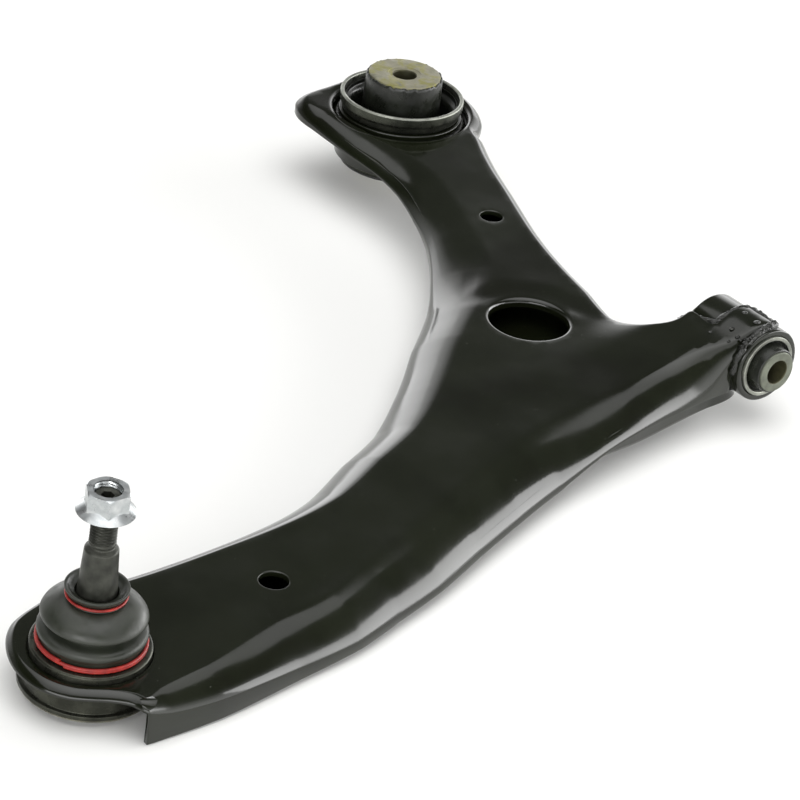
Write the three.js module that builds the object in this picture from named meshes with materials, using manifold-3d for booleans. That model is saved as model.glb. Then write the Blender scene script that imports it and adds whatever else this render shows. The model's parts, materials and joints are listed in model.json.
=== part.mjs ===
// Lower suspension control arm with a vertical rear bushing, a horizontal front bushing and a ball joint.
// Millimetres, +Z up. X runs from the rear pivot to the front pivot and the ball joint lies toward -Y.
import * as THREE from "three";
import Module from "manifold-3d";

const wasm = await Module();
wasm.setup();

// Driving dimensions. Everything is laid out from the rear pivot, then shifted onto the floor plane.
const SHIFT = [-177.8, 214.35, 34.62];
const SHEET = 3;
const GAP = 0.3;
const TOP_AT_REAR = 10;
const TOP_SLOPE_X = -0.036;
const TOP_SLOPE_Y = 0.023;
const FLANGE_DEPTH = 20;
const EDGE_ROLL = 9;
const INNER_ROLL = 25;
const INNER_ROLL_DEPTH = 16;
const LIGHTENING_HOLE = { x: 218, y: -83, r: 20.5 };
const REAR_DRAIN_HOLE = { x: 123, y: -32, r: 6.2 };
const FRONT_DRAIN_HOLE = { x: 350, y: -339, r: 7 };

const REAR_OPENING_R = 38;
const REAR_TUBE = { inner: 32, outer: 34.8, bottom: -18, top: 8.6 };
const REAR_SLEEVE = { inner: 29.6, outer: 31.7, bottom: -20.4, rimTop: 19.1, rimOuter: 34.9 };
const REAR_CORE = { bore: 6.5, outer: 20.3, bottom: -25, top: 31.3 };

const EYE_Z = -1.5;
const EYE_TUBE = { inner: 16.8, outer: 19.8, from: 265, to: 309.3 };
const EYE_SLEEVE = { inner: 15, outer: 16.5, from: 264.2, to: 310.3 };
const EYE_CORE = { bore: 6.4, outer: 11, from: 257.5, to: 317 };
const WRAP_R = 21.9;
const STRAP = { from: 284, to: 301, endDeg: 78 };

const BALL_CENTRE = [355.2, -440.4, -13];
const BALL_LEAN = [0.06, -0.02];
const BALL_R = 12.5;
const RING_GAP = { angle: 298, width: 3 };
const HOUSING = {
  bootSeat: 21.3,
  neck: 27,
  collar: 28.8,
  flange: 29.6,
  shoulder: -4.1,
  flangeTop: -13.2,
  bottom: -17.4,
};
const THREAD_R = 6;
const TAPER = { bottom: 24, top: 53, bottomR: 9.2, topR: 7.5 };
const STUD_END = 80.5;
const NUT = { bottom: 71, cone: 4.4, top: 83, flats: 18, flangeR: 13.3 };

const group = new THREE.Group();

const steel = (color, roughness, metalness) => ({ color, roughness, metalness });
const PAINT = steel(0x1f221e, 0.35, 0.3);
const WELD = steel(0x2a2d28, 0.55, 0.4);
const SATIN_STEEL = steel(0x8f9288, 0.45, 0.9);
const YELLOW_ZINC = steel(0xb8b48c, 0.5, 0.8);
const RUBBER = steel(0x2c2e2a, 0.8, 0);
const BOOT_RUBBER = steel(0x454840, 0.7, 0);
const PHOSPHATE = steel(0x55574f, 0.5, 0.8);
const ZINC = steel(0xd4d6d4, 0.25, 0.9);
const BALL_STEEL = steel(0xb9bbbd, 0.15, 1);
const POLYMER = steel(0xd9d6c8, 0.6, 0);
const RED = steel(0xc23a2e, 0.5, 0);

function topHeight(x, y) {
  return TOP_AT_REAR + TOP_SLOPE_X * x + TOP_SLOPE_Y * y;
}

// A closed solid from any closed geometry.
function solid(geometry) {
  const flat = geometry.index ? geometry.toNonIndexed() : geometry;
  const position = flat.getAttribute("position");
  const keys = new Map();
  const vertices = [];
  const triangles = [];
  for (let i = 0; i < position.count; i += 3) {
    const corner = [];
    for (let k = 0; k < 3; k++) {
      const p = [position.getX(i + k), position.getY(i + k), position.getZ(i + k)];
      const key = p.map((v) => Math.round(v * 1e4)).join();
      if (!keys.has(key)) {
        keys.set(key, keys.size);
        vertices.push(...p);
      }
      corner.push(keys.get(key));
    }
    const [a, b, c] = corner;
    if (a !== b && b !== c && c !== a) triangles.push(a, b, c);
  }
  const mesh = new wasm.Mesh({
    numProp: 3,
    vertProperties: new Float32Array(vertices),
    triVerts: new Uint32Array(triangles),
  });
  return new wasm.Manifold(mesh);
}

function geometryOf(manifold) {
  const mesh = manifold.getMesh();
  const geometry = new THREE.BufferGeometry();
  geometry.setAttribute("position", new THREE.BufferAttribute(mesh.vertProperties, 3));
  geometry.setIndex(new THREE.BufferAttribute(mesh.triVerts, 1));
  return geometry;
}

function add(name, shape, look, place) {
  const geometry = (shape.isBufferGeometry ? shape : geometryOf(shape)).clone();
  if (place) geometry.applyMatrix4(place);
  geometry.translate(...SHIFT);
  geometry.computeVertexNormals();
  const mesh = new THREE.Mesh(geometry, new THREE.MeshStandardMaterial(look));
  mesh.name = name;
  group.add(mesh);
}

function outlineShape(points) {
  return new THREE.Shape(points.map(([x, y]) => new THREE.Vector2(x, y)));
}

// Straight-walled prism between two heights.
function prism(points, from, to) {
  const geometry = new THREE.ExtrudeGeometry(outlineShape(points), {
    depth: to - from,
    bevelEnabled: false,
  });
  geometry.translate(0, 0, from);
  return solid(geometry);
}

// Prism whose upper edge is rolled over: the outline is its widest section.
function rolledPrism(points, from, to, rollWidth, rollDepth, segments) {
  const geometry = new THREE.ExtrudeGeometry(outlineShape(points), {
    depth: to - from - rollDepth + 60,
    bevelEnabled: true,
    bevelThickness: rollDepth,
    bevelSize: rollWidth,
    bevelOffset: -rollWidth,
    bevelSegments: segments,
  });
  geometry.translate(0, 0, from - 60);
  const size = 2000;
  const keep = prism([[-size, -size], [size, -size], [size, size], [-size, size]], from, to + 10);
  return solid(geometry).intersect(keep);
}

// Solid of revolution about +Z. The profile is a list of [radius, height].
function turned(profile, segments = 40) {
  let area = 0;
  for (let i = 0; i < profile.length; i++) {
    const [r0, z0] = profile[i];
    const [r1, z1] = profile[(i + 1) % profile.length];
    area += r0 * z1 - r1 * z0;
  }
  const ordered = area > 0 ? profile : [...profile].reverse();
  const onAxis = ordered.some(([r]) => r === 0);
  let points = ordered;
  if (onAxis) {
    const start = ordered.findIndex(([r], i) => r === 0 && ordered.at(i - 1)[0] === 0);
    points = [...ordered.slice(start), ...ordered.slice(0, start)];
  } else {
    points = [...ordered, ordered[0]];
  }
  const vectors = points.map(([r, z]) => new THREE.Vector2(r, z));
  const geometry = new THREE.LatheGeometry(vectors, segments);
  geometry.rotateX(Math.PI / 2);
  return solid(geometry);
}

function ring(inner, outer, from, to, segments) {
  return turned([[inner, from], [outer, from], [outer, to], [inner, to]], segments);
}

function rod(radius, from, to, segments) {
  return turned([[0, from], [radius, from], [radius, to], [0, to]], segments);
}

function arcPoints(cx, cy, r, fromDeg, toDeg, steps) {
  const points = [];
  for (let i = 0; i <= steps; i++) {
    const a = THREE.MathUtils.degToRad(fromDeg + ((toDeg - fromDeg) * i) / steps);
    points.push([cx + r * Math.cos(a), cy + r * Math.sin(a)]);
  }
  return points;
}

// Evenly smoothed open run of points.
function smoothRun(points, count) {
  const curve = new THREE.CatmullRomCurve3(points.map(([x, y]) => new THREE.Vector3(x, y, 0)));
  return curve.getSpacedPoints(count).map((p) => [p.x, p.y]);
}

// Outline moved inwards by a fixed distance, for a counter-clockwise loop.
function inset(points, distance) {
  return points.map((p, i) => {
    const a = points[(i + points.length - 1) % points.length];
    const b = points[(i + 1) % points.length];
    const dx = b[0] - a[0];
    const dy = b[1] - a[1];
    const length = Math.hypot(dx, dy);
    return [p[0] - (dy / length) * distance, p[1] + (dx / length) * distance];
  });
}

// Lets a level solid follow the sloping top plane of the arm.
function sheared(manifold) {
  return manifold.warp((v) => {
    v[2] += topHeight(v[0], v[1]);
  });
}

// Plan outline of the pressing, counter-clockwise, in five runs.
const REAR_END = arcPoints(0, 0, 47, 34, 196, 13);
const REAR_CORNER = [[-42.5, -24], [-40, -34], [-35, -43.5], [-26, -49]];
const CONCAVE_EDGE = smoothRun([
  [-14, -50.5], [20, -50.5], [45, -49.5], [66, -51], [90, -58], [118, -70], [147, -90], [172, -112],
  [198, -142], [216, -161], [234, -182], [256, -211], [271, -242], [289, -275], [300, -308],
  [307, -345], [310, -385], [313, -418],
], 34);
const TAB_EDGE = smoothRun([
  [313, -429], [314, -445], [320, -460], [332, -470], [350, -476], [367, -474], [379, -466],
  [388, -452], [395, -444.5], [402, -443],
], 12);
const FRONT_EDGE = smoothRun([
  [402.5, -430], [402, -402], [399, -379], [395, -354], [389, -316], [380, -287], [370, -255],
  [356, -221], [342, -185], [329, -149], [319, -115], [312, -86], [306, -66], [303, -48],
], 20);
const NECK = [[302, -30], [302, 8], [268, 8], [268, -24]];
const BACK_EDGE = smoothRun([
  [262, -31], [252, -36], [236, -38], [211, -32], [190, -28], [165, -22], [140, -14], [104, 0],
  [80, 9], [61, 17], [48, 23],
], 15);
const OUTLINE = [
  ...REAR_END, ...REAR_CORNER, ...CONCAVE_EDGE, ...TAB_EDGE, ...FRONT_EDGE, ...NECK, ...BACK_EDGE,
];

// The concave side has a much broader roll, so a second, wider outline shares only that side.
const WIDE_OUTLINE = [
  [-90, 90], [-90, -52], ...CONCAVE_EDGE, [313, -520], [460, -520], [460, 90],
];

// Solid bounded by the outer skin of the pressing, moved inwards by a sheet thickness for the inside.
function pressingBody(offset) {
  const edge = inset(OUTLINE, offset);
  const wide = inset(WIDE_OUTLINE, offset);
  const top = -offset;
  const bottom = -40;
  const roll = EDGE_ROLL - offset / 2;
  const inner = INNER_ROLL - offset;
  const body = rolledPrism(edge, bottom, top, roll, roll, 4);
  return body.intersect(rolledPrism(wide, bottom, top, inner, INNER_ROLL_DEPTH - offset, 5));
}

const TUBE_CLEARANCE = rod(EYE_TUBE.outer + GAP, 240, 330, 48);
const ACROSS = new THREE.Matrix4().makeRotationY(Math.PI / 2);
const ALONG_X = new THREE.Matrix4().makeTranslation(0, 0, EYE_Z).multiply(ACROSS);

function placed(manifold, matrix) {
  const geometry = geometryOf(manifold);
  geometry.applyMatrix4(matrix);
  return solid(geometry);
}

const tubeCut = placed(TUBE_CLEARANCE, ALONG_X);

// Profile across the pivot axis, given as [y, z] and stretched along X.
function crossProfile(points, from, to) {
  const geometry = new THREE.ExtrudeGeometry(outlineShape(points), {
    depth: to - from,
    bevelEnabled: false,
  });
  geometry.applyMatrix4(new THREE.Matrix4().set(0, 0, 1, from, 1, 0, 0, 0, 0, 1, 0, 0, 0, 0, 0, 1));
  return solid(geometry);
}

// Profile along the pivot axis, given as [x, z] and stretched along Y.
function lengthProfile(points, from, to) {
  const geometry = new THREE.ExtrudeGeometry(outlineShape(points), {
    depth: to - from,
    bevelEnabled: false,
  });
  geometry.rotateX(Math.PI / 2);
  geometry.translate(0, to, 0);
  return solid(geometry);
}

// Bead of weld metal laid along a smooth path.
function bead(points, radius, steps) {
  const path = new THREE.CatmullRomCurve3(points.map((p) => new THREE.Vector3(...p)));
  const section = outlineShape(arcPoints(0, 0, radius, 0, 315, 7));
  return solid(
    new THREE.ExtrudeGeometry(section, { steps, bevelEnabled: false, extrudePath: path }),
  );
}

const EVERYWHERE = [[-200, -600], [600, -600], [600, 200], [-200, 200]];
const BALL_AXIS = new THREE.Vector3(BALL_LEAN[0], BALL_LEAN[1], 1).normalize();
const ballPlace = new THREE.Matrix4()
  .makeTranslation(...BALL_CENTRE)
  .multiply(
    new THREE.Matrix4().makeRotationFromQuaternion(
      new THREE.Quaternion().setFromUnitVectors(new THREE.Vector3(0, 0, 1), BALL_AXIS),
    ),
  );
const housingCut = placed(
  rod(HOUSING.neck + GAP, -30, 30).add(rod(HOUSING.flange + 0.6, -30, HOUSING.shoulder + GAP)),
  ballPlace,
);

// The neck: a ramp that climbs from the plate, then wraps over the eye tube. Heights along Y.
const RAMP = [[-105, -2.6], [-80, -1.4], [-55, 2.4], [-35, 8], [-20, 13]];
const NECK_PLAN = [
  [262, -100], [313.5, -100], [306, -66], [303, -48], [301, -30], [301, 8], [284, 8], [284, -17],
  [266, -17], [266, -25], [256, -36], [246, -41], [240, -60],
];

function neckBody(offset) {
  const ramp = RAMP.map(([y, z]) => [y, z - offset]);
  const wrap = arcPoints(0, 0, WRAP_R - offset, 123, STRAP.endDeg, 8).map(([y, z]) => [y, EYE_Z + z]);
  const end = wrap.at(-1)[0];
  const section = crossProfile([...ramp, ...wrap, [end, -40], [-105, -40]], 230, 330);
  return section.intersect(prism(inset(NECK_PLAN, offset), -60, 60));
}

function pressingSkin(offset) {
  return sheared(pressingBody(offset)).add(neckBody(offset));
}

// Upper pressing: skin, trimmed flanges, openings.
const REAR_TRIM = [[-90, -60], [-90, -9.5], [40, -9.5], [160, -FLANGE_DEPTH], [160, -60]];
const EYE_TRIM = [[-150, -60], [-150, -FLANGE_DEPTH], [-105, -13], [60, -13], [60, -60]];
const TAB_TRIM = [[290, -425], [380, -425], [396, -441], [430, -441], [430, -520], [290, -520]];
const EYE_TRIM_PLAN = [[250, -46], [345, -46], [345, 60], [250, 60]];
const eyeTrimInner = crossProfile(EYE_TRIM.slice(2), 250, 300).intersect(prism(EYE_TRIM_PLAN, -70, 60));
const eyeTrim = crossProfile(EYE_TRIM, 290, 345).add(eyeTrimInner);
let upperShell = pressingSkin(0).subtract(pressingSkin(SHEET));
upperShell = upperShell.subtract(sheared(prism(EVERYWHERE, -60, -FLANGE_DEPTH)));
upperShell = upperShell.subtract(sheared(lengthProfile(REAR_TRIM, -120, 120)));
upperShell = upperShell.subtract(sheared(prism(TAB_TRIM, -60, -6.5))).subtract(sheared(eyeTrim));
for (const hole of [LIGHTENING_HOLE, REAR_DRAIN_HOLE, FRONT_DRAIN_HOLE]) {
  upperShell = upperShell.subtract(rod(hole.r, -60, 60, 32).translate(hole.x, hole.y, 0));
}
upperShell = upperShell.subtract(rod(REAR_OPENING_R, -60, 60)).subtract(tubeCut);
upperShell = upperShell.subtract(housingCut);
add("upper_shell", upperShell, PAINT);

// Lower pressing: a closing plate inside the flanges with a bowl under the front eye.
const PLATE_TOP = [[-90, -7.5], [55, -7.5], [125, -15.5], [460, -15.5]];
const plateProfile = [...PLATE_TOP, ...PLATE_TOP.map(([x, z]) => [x, z - SHEET]).reverse()];
const BOWL_PLAN = [
  [322.5, -142], [314.9, -115], [308, -86], [302.2, -66], [299.2, -48], [298.6, -2],
  [272, -2], [270, -30], [262, -50], [258, -80], [266, -118], [292, -150],
];
const BOWL_BOTTOM = -25;
const BOWL_SLOPE = 0.07;

function bowlBody(offset) {
  const plan = inset(BOWL_PLAN, offset).map(([x, y]) => [x, -y]);
  const roll = 5 - offset / 2;
  const turnedOver = rolledPrism(plan, -14, -BOWL_BOTTOM - offset, roll, roll, 3);
  const level = placed(turnedOver, new THREE.Matrix4().makeRotationX(Math.PI));
  return level.warp((v) => {
    v[2] += BOWL_SLOPE * (v[1] + 10);
  });
}

const inside = pressingSkin(SHEET + GAP);
const plate = sheared(lengthProfile(plateProfile, -404, 120)).subtract(
  prism([[250, -28], [340, -28], [340, 60], [250, 60]], -60, 60),
);
let lowerShell = plate.intersect(inside).add(
  bowlBody(0).intersect(prism(EVERYWHERE, -60, -15.5)),
);
lowerShell = lowerShell.subtract(bowlBody(SHEET)).subtract(tubeCut);
lowerShell = lowerShell.subtract(rod(REAR_TUBE.outer + GAP, -60, 60));
add("lower_shell", lowerShell, PAINT);

// Weld beads that hold the pressings and tubes together.
const seamPath = [
  [313.9, -104], [310.1, -86], [304.3, -66], [301.3, -48], [300.6, -30],
].map(([x, y]) => [x, y, topHeight(x, y) - 14.7]);
add("seam_weld", bead(seamPath, 1.3, 24), WELD);
const wrapTop = EYE_TUBE.outer + 1.5;
const eyeWeldPath = [128, 116, 104, 92, 80].map((deg) => {
  const a = THREE.MathUtils.degToRad(deg);
  return [STRAP.from - 2, wrapTop * Math.cos(a), EYE_Z + wrapTop * Math.sin(a)];
});
const endAngle = THREE.MathUtils.degToRad(72);
for (const x of [STRAP.from - 0.6, STRAP.from + 8, STRAP.to - 2]) {
  eyeWeldPath.push([x, wrapTop * Math.cos(endAngle), EYE_Z + wrapTop * Math.sin(endAngle)]);
}
add("eye_weld", bead(eyeWeldPath, 1.1, 28), WELD);
const tubeWeldProfile = [
  [REAR_TUBE.outer + GAP, -15],
  [REAR_TUBE.outer + 4, -10.8],
  [REAR_TUBE.outer + GAP, -10.8],
];
add("rear_tube_weld", sheared(turned(tubeWeldProfile)), WELD);

// Front eye and its bushing, about the horizontal pivot axis.
const addAlongX = (name, shape, look) => add(name, shape, look, ALONG_X);
const eyeTube = ring(EYE_TUBE.inner, EYE_TUBE.outer, EYE_TUBE.from, EYE_TUBE.to);
addAlongX("front_eye_tube", eyeTube, PAINT);
const eyeSleeve = ring(EYE_SLEEVE.inner, EYE_SLEEVE.outer, EYE_SLEEVE.from, EYE_SLEEVE.to);
addAlongX("front_bushing_sleeve", eyeSleeve, SATIN_STEEL);
const rubberEnd = 2.2;
addAlongX(
  "front_bushing_rubber",
  turned([
    [EYE_CORE.outer + GAP, EYE_SLEEVE.from],
    [13, EYE_SLEEVE.from + rubberEnd],
    [EYE_SLEEVE.inner - GAP, EYE_SLEEVE.from + 1],
    [EYE_SLEEVE.inner - GAP, EYE_SLEEVE.to - 1],
    [13, EYE_SLEEVE.to - rubberEnd],
    [EYE_CORE.outer + GAP, EYE_SLEEVE.to],
  ]),
  RUBBER,
);
const eyeCore = ring(EYE_CORE.bore, EYE_CORE.outer, EYE_CORE.from, EYE_CORE.to);
addAlongX("front_bushing_core", eyeCore, SATIN_STEEL);

// Rear bushing, about the vertical axis.
add("rear_tube", ring(REAR_TUBE.inner, REAR_TUBE.outer, REAR_TUBE.bottom, REAR_TUBE.top), PAINT);
add(
  "rear_bushing_sleeve",
  turned([
    [REAR_SLEEVE.inner, REAR_SLEEVE.bottom],
    [REAR_SLEEVE.outer, REAR_SLEEVE.bottom],
    [REAR_SLEEVE.outer, 9],
    [REAR_SLEEVE.rimOuter - 0.6, 10.2],
    [REAR_SLEEVE.rimOuter - 0.6, 17],
    [REAR_SLEEVE.rimOuter, 18],
    [REAR_SLEEVE.rimOuter - 0.4, REAR_SLEEVE.rimTop],
    [32.8, REAR_SLEEVE.rimTop],
    [31.6, 16.5],
    [31.6, 11.8],
    [REAR_SLEEVE.inner, 9.5],
  ]),
  SATIN_STEEL,
);
const coat = REAR_CORE.outer + GAP;
const KIDNEY = { inner: 23.6, outer: 27.4, from: -8, to: 40 };
let rearRubber = turned([
  [coat, -22.2],
  [26, -22.8],
  [REAR_SLEEVE.outer - 0.4, -22.2],
  [REAR_SLEEVE.outer - 0.4, REAR_SLEEVE.bottom - GAP],
  [REAR_SLEEVE.inner - GAP, REAR_SLEEVE.bottom - GAP],
  [REAR_SLEEVE.inner - GAP, 7],
  [26, 4],
  [22.8, 7],
  [22.2, 12],
  [22, 29.6],
  [coat, 30.4],
]);
for (const side of [0, 180]) {
  const plan = [
    ...arcPoints(0, 0, KIDNEY.inner, side + 6, side + 94, 10),
    ...arcPoints(0, 0, KIDNEY.outer, side + 94, side + 6, 10),
  ];
  rearRubber = rearRubber.subtract(prism(plan, KIDNEY.from, KIDNEY.to));
}
add("rear_bushing_rubber", rearRubber, RUBBER);
add(
  "rear_bushing_core",
  turned([
    [REAR_CORE.bore, REAR_CORE.bottom],
    [REAR_CORE.outer, REAR_CORE.bottom],
    [REAR_CORE.outer, REAR_CORE.top],
    [9.4, REAR_CORE.top],
    [8.6, REAR_CORE.top - 0.8],
    [REAR_CORE.bore, REAR_CORE.top - 0.8],
  ]),
  YELLOW_ZINC,
);

// Ball joint, about its own leaning axis with the ball centre as origin.
const addBallPart = (name, shape, look) => add(name, shape, look, ballPlace);

// Points on the sphere that clears the ball by the running gap.
function ballArc(fromDeg, toDeg, steps) {
  return arcPoints(0, 0, BALL_R + GAP, fromDeg, toDeg, steps);
}

addBallPart(
  "ball_joint_housing",
  turned([
    [12.2, 9.4],
    [20.6, 9.4],
    [HOUSING.bootSeat, 8.6],
    [HOUSING.bootSeat, 3.8],
    [26.4, 3.8],
    [HOUSING.neck, 3.2],
    [HOUSING.neck, HOUSING.shoulder],
    [HOUSING.collar, HOUSING.shoulder],
    [HOUSING.collar, HOUSING.flangeTop],
    [HOUSING.flange, HOUSING.flangeTop - 0.6],
    [HOUSING.flange, HOUSING.bottom + 0.6],
    [HOUSING.flange - 0.6, HOUSING.bottom],
    [22.2, HOUSING.bottom],
    [22.2, -16.1],
    [24.4, -15.9],
    [24.4, -13.6],
    [17.6, -13.6],
    [17.6, 1.2],
    [15.9, 6],
    [11.8, 8.6],
  ]),
  SATIN_STEEL,
);
addBallPart("ball_joint_cover", rod(24.1, -15.6, -13.9), SATIN_STEEL);
addBallPart(
  "bearing_upper_liner",
  turned([...ballArc(4, 38, 4), [11.4, 8.2], [15.6, 5.7], [17.3, 0.9]], 32),
  POLYMER,
);
addBallPart(
  "bearing_lower_liner",
  turned([...ballArc(-4, -56, 5), [7.4, -12.3], [17.3, -12.3], [17.3, -0.9]], 32),
  POLYMER,
);
addBallPart(
  "preload_spring",
  turned([[8, -13.1], [16.5, -13.6], [16.5, -13.1], [8, -12.6]]),
  PHOSPHATE,
);
const ballProfile = arcPoints(0, 0, BALL_R, -90, 90, 14);
ballProfile[0][0] = 0;
ballProfile[14][0] = 0;
addBallPart("ball", turned(ballProfile, 32), BALL_STEEL);

const neckArc = ballArc(90, 59, 4);
neckArc[0][0] = 0;
const shank = turned([
  ...neckArc,
  [6.6, 16.5],
  [TAPER.bottomR, 21.5],
  [TAPER.bottomR, TAPER.bottom],
  [TAPER.topR, TAPER.top],
  [5.4, TAPER.top + 1],
  [5.4, TAPER.top + 2.4],
  [THREAD_R, TAPER.top + 3],
  [THREAD_R, STUD_END - 0.8],
  [THREAD_R - 0.8, STUD_END],
  [0, STUD_END],
]);
const socket = prism(arcPoints(0, 0, 2.9, 0, 300, 5), STUD_END - 5, STUD_END + 5);
addBallPart("ball_stud", shank.subtract(socket), PHOSPHATE);

const hexCorner = NUT.flats / Math.sqrt(3);
const hexagon = prism(arcPoints(0, 0, hexCorner, 0, 300, 5), NUT.bottom + 1, NUT.top);
const chamfer = turned([
  [0, NUT.bottom],
  [hexCorner + 1, NUT.bottom],
  [hexCorner + 1, NUT.top - 1.7],
  [NUT.flats / 2, NUT.top],
  [0, NUT.top],
]);
const nutFlange = turned([
  [0, NUT.bottom],
  [NUT.flangeR - 0.4, NUT.bottom],
  [NUT.flangeR, NUT.bottom + 0.5],
  [NUT.flangeR, NUT.bottom + 1.3],
  [9.4, NUT.bottom + NUT.cone],
  [0, NUT.bottom + NUT.cone],
]);
const nutBore = turned([
  [0, NUT.bottom - 1],
  [7, NUT.bottom - 1],
  [7, NUT.bottom],
  [THREAD_R + GAP, NUT.bottom + 0.8],
  [THREAD_R + GAP, NUT.top - 0.8],
  [7, NUT.top],
  [7, NUT.top + 1],
  [0, NUT.top + 1],
]);
addBallPart("flange_nut", hexagon.intersect(chamfer).add(nutFlange).subtract(nutBore), ZINC);

// Dust boot with its lip and clamp rings.
addBallPart(
  "dust_boot",
  turned([
    [9.6, 27.2],
    [9.6, 25.4],
    [20.8, 21.2],
    [21, 19],
    [18.8, 15],
    [22.7, 11.6],
    [21.6, 9.4],
    [21.6, 4.1],
    [23.8, 4.1],
    [23.8, 8],
    [24.6, 9.4],
    [24.6, 11],
    [23.4, 12.8],
    [20.6, 14.2],
    [20.6, 15.6],
    [22.6, 18],
    [23.1, 20],
    [22.9, 21.8],
    [21.6, 22.9],
    [13, 27.2],
  ]),
  BOOT_RUBBER,
);
addBallPart(
  "boot_lip",
  turned([
    [9.3, 27.5],
    [13, 27.5],
    [12.3, 28.4],
    [12.3, 30.2],
    [13.2, 30.7],
    [14.3, 32.4],
    [14.3, 33.5],
    [12.6, 33.5],
    [9.3, 32],
  ]),
  BOOT_RUBBER,
);
addBallPart("boot_upper_ring", turned(arcPoints(13.25, 29.3, 0.65, 0, 300, 5)), RED);
const lowerRingSection = arcPoints(0, 0, 1, 0, 315, 7).map(([a, b]) => [24.85 + 0.7 * a, 6 + 1.3 * b]);
const lowerRing = turned(lowerRingSection);
const halfGap = RING_GAP.width / 2;
const gapBox = prism([[20, -halfGap], [30, -halfGap], [30, halfGap], [20, halfGap]], 0, 12);
addBallPart("boot_lower_ring", lowerRing.subtract(gapBox.rotate(0, 0, RING_GAP.angle)), RED);

export default group;
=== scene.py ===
"""Looks of a lower suspension control arm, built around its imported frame."""

import json
import math

import bmesh
import bpy
import numpy as np
from bpy.props import FloatProperty, FloatVectorProperty, PointerProperty
from mathutils import Matrix, Quaternion, Vector, noise
from mathutils.geometry import delaunay_2d_cdt


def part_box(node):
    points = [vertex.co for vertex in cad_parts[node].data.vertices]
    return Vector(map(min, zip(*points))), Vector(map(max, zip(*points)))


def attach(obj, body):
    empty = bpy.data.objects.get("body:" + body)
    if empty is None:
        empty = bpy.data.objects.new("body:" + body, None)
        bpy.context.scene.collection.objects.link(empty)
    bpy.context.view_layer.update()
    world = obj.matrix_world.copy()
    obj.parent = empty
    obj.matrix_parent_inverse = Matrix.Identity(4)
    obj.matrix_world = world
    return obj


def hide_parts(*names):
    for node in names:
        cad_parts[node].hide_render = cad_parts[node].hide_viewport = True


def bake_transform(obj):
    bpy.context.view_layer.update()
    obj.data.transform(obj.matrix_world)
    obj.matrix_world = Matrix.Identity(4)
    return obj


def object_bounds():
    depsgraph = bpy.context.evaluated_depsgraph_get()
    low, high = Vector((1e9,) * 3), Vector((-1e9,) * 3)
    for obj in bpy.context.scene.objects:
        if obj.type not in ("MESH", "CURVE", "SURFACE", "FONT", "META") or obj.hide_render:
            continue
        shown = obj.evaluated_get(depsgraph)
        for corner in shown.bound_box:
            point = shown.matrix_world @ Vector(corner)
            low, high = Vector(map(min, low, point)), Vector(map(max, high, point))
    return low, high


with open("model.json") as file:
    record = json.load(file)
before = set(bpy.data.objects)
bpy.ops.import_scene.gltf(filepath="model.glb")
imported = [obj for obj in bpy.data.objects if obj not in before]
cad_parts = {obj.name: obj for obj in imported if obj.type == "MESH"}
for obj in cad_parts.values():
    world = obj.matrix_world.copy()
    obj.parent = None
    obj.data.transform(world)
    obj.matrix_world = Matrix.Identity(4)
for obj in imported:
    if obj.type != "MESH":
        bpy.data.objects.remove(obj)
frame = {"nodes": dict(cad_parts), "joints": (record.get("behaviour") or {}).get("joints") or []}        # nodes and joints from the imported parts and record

bl_info = {
    "name": "Suspension Control Arm",
    "version": (1, 0, 0),
    "blender": (4, 5, 0),
    "location": "View3D > Sidebar > Control Arm",
    "description": "Builds a pressed steel control arm with two bushings and a ball joint",
    "category": "Add Mesh",
}

MM = 0.001
CAD_LOW, CAD_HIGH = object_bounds()

# The arm is drawn in millimetres from the rear pivot; the eye's axis lies a little below that datum.
EYE_DROP = 1.5


def joint_row(name):
    return next(row for row in frame["joints"] if row["name"] == name)


def place_at(point, turn=Matrix.Identity(4)):
    """Matrix from millimetres about a point of the frame to the frame's metres."""
    return Matrix.Translation(point) @ turn @ Matrix.Scale(MM, 4)


REAR_PIVOT = Vector(joint_row("rear_bushing_rock")["pos_m"])
BALL_CENTRE = Vector(joint_row("ball_swing_x")["pos_m"])
STUD_AXIS = Vector(joint_row("stud_spin")["axis"])
STUD_TURN = Vector((0, 0, 1)).rotation_difference(STUD_AXIS).to_matrix().to_4x4()

ARM_PLACE = place_at(REAR_PIVOT + Vector((0, 0, EYE_DROP * MM)))
EYE_PLACE = place_at(REAR_PIVOT, Matrix.Rotation(math.radians(90), 4, "Y"))
BALL_PLACE = place_at(BALL_CENTRE, STUD_TURN)


def span(node, place=ARM_PLACE):
    """Lowest and highest corner of a CAD node in a piece's own millimetres."""
    low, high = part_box(node)
    inverse = place.inverted()
    ends = [inverse @ low, inverse @ high]
    return [Vector(map(pick, *ends)) for pick in (min, max)]


# ---------------------------------------------------------------- settings

def linear(code):
    """Linear colour of an sRGB hex code."""
    channels = [int(code[i:i + 2], 16) / 255 for i in (1, 3, 5)]
    return [c / 12.92 if c <= 0.04045 else ((c + 0.055) / 1.055) ** 2.4 for c in channels]


def colour_property(name, description, code):
    return FloatVectorProperty(
        name=name, description=description, subtype="COLOR", size=3, min=0, max=1,
        default=linear(code),
    )


def millimetres(name, description, default, low, high):
    return FloatProperty(
        name=name, description=f"{description}, in millimetres", default=default, min=low, max=high,
    )


class ArmSizes(bpy.types.PropertyGroup):
    sheet: millimetres("Sheet thickness", "Thickness of the pressed steel", 2.6, 1, 3)
    hem: millimetres("Edge break", "Rounding of the cut edges of the sheet", 0.35, 0, 1)
    mesh_step: millimetres("Mesh step", "Spacing of the mesh over the pressing", 3.0, 1.5, 8)
    thread_pitch: millimetres("Thread pitch", "Pitch of the stud's thread", 1.5, 0.5, 3)


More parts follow.
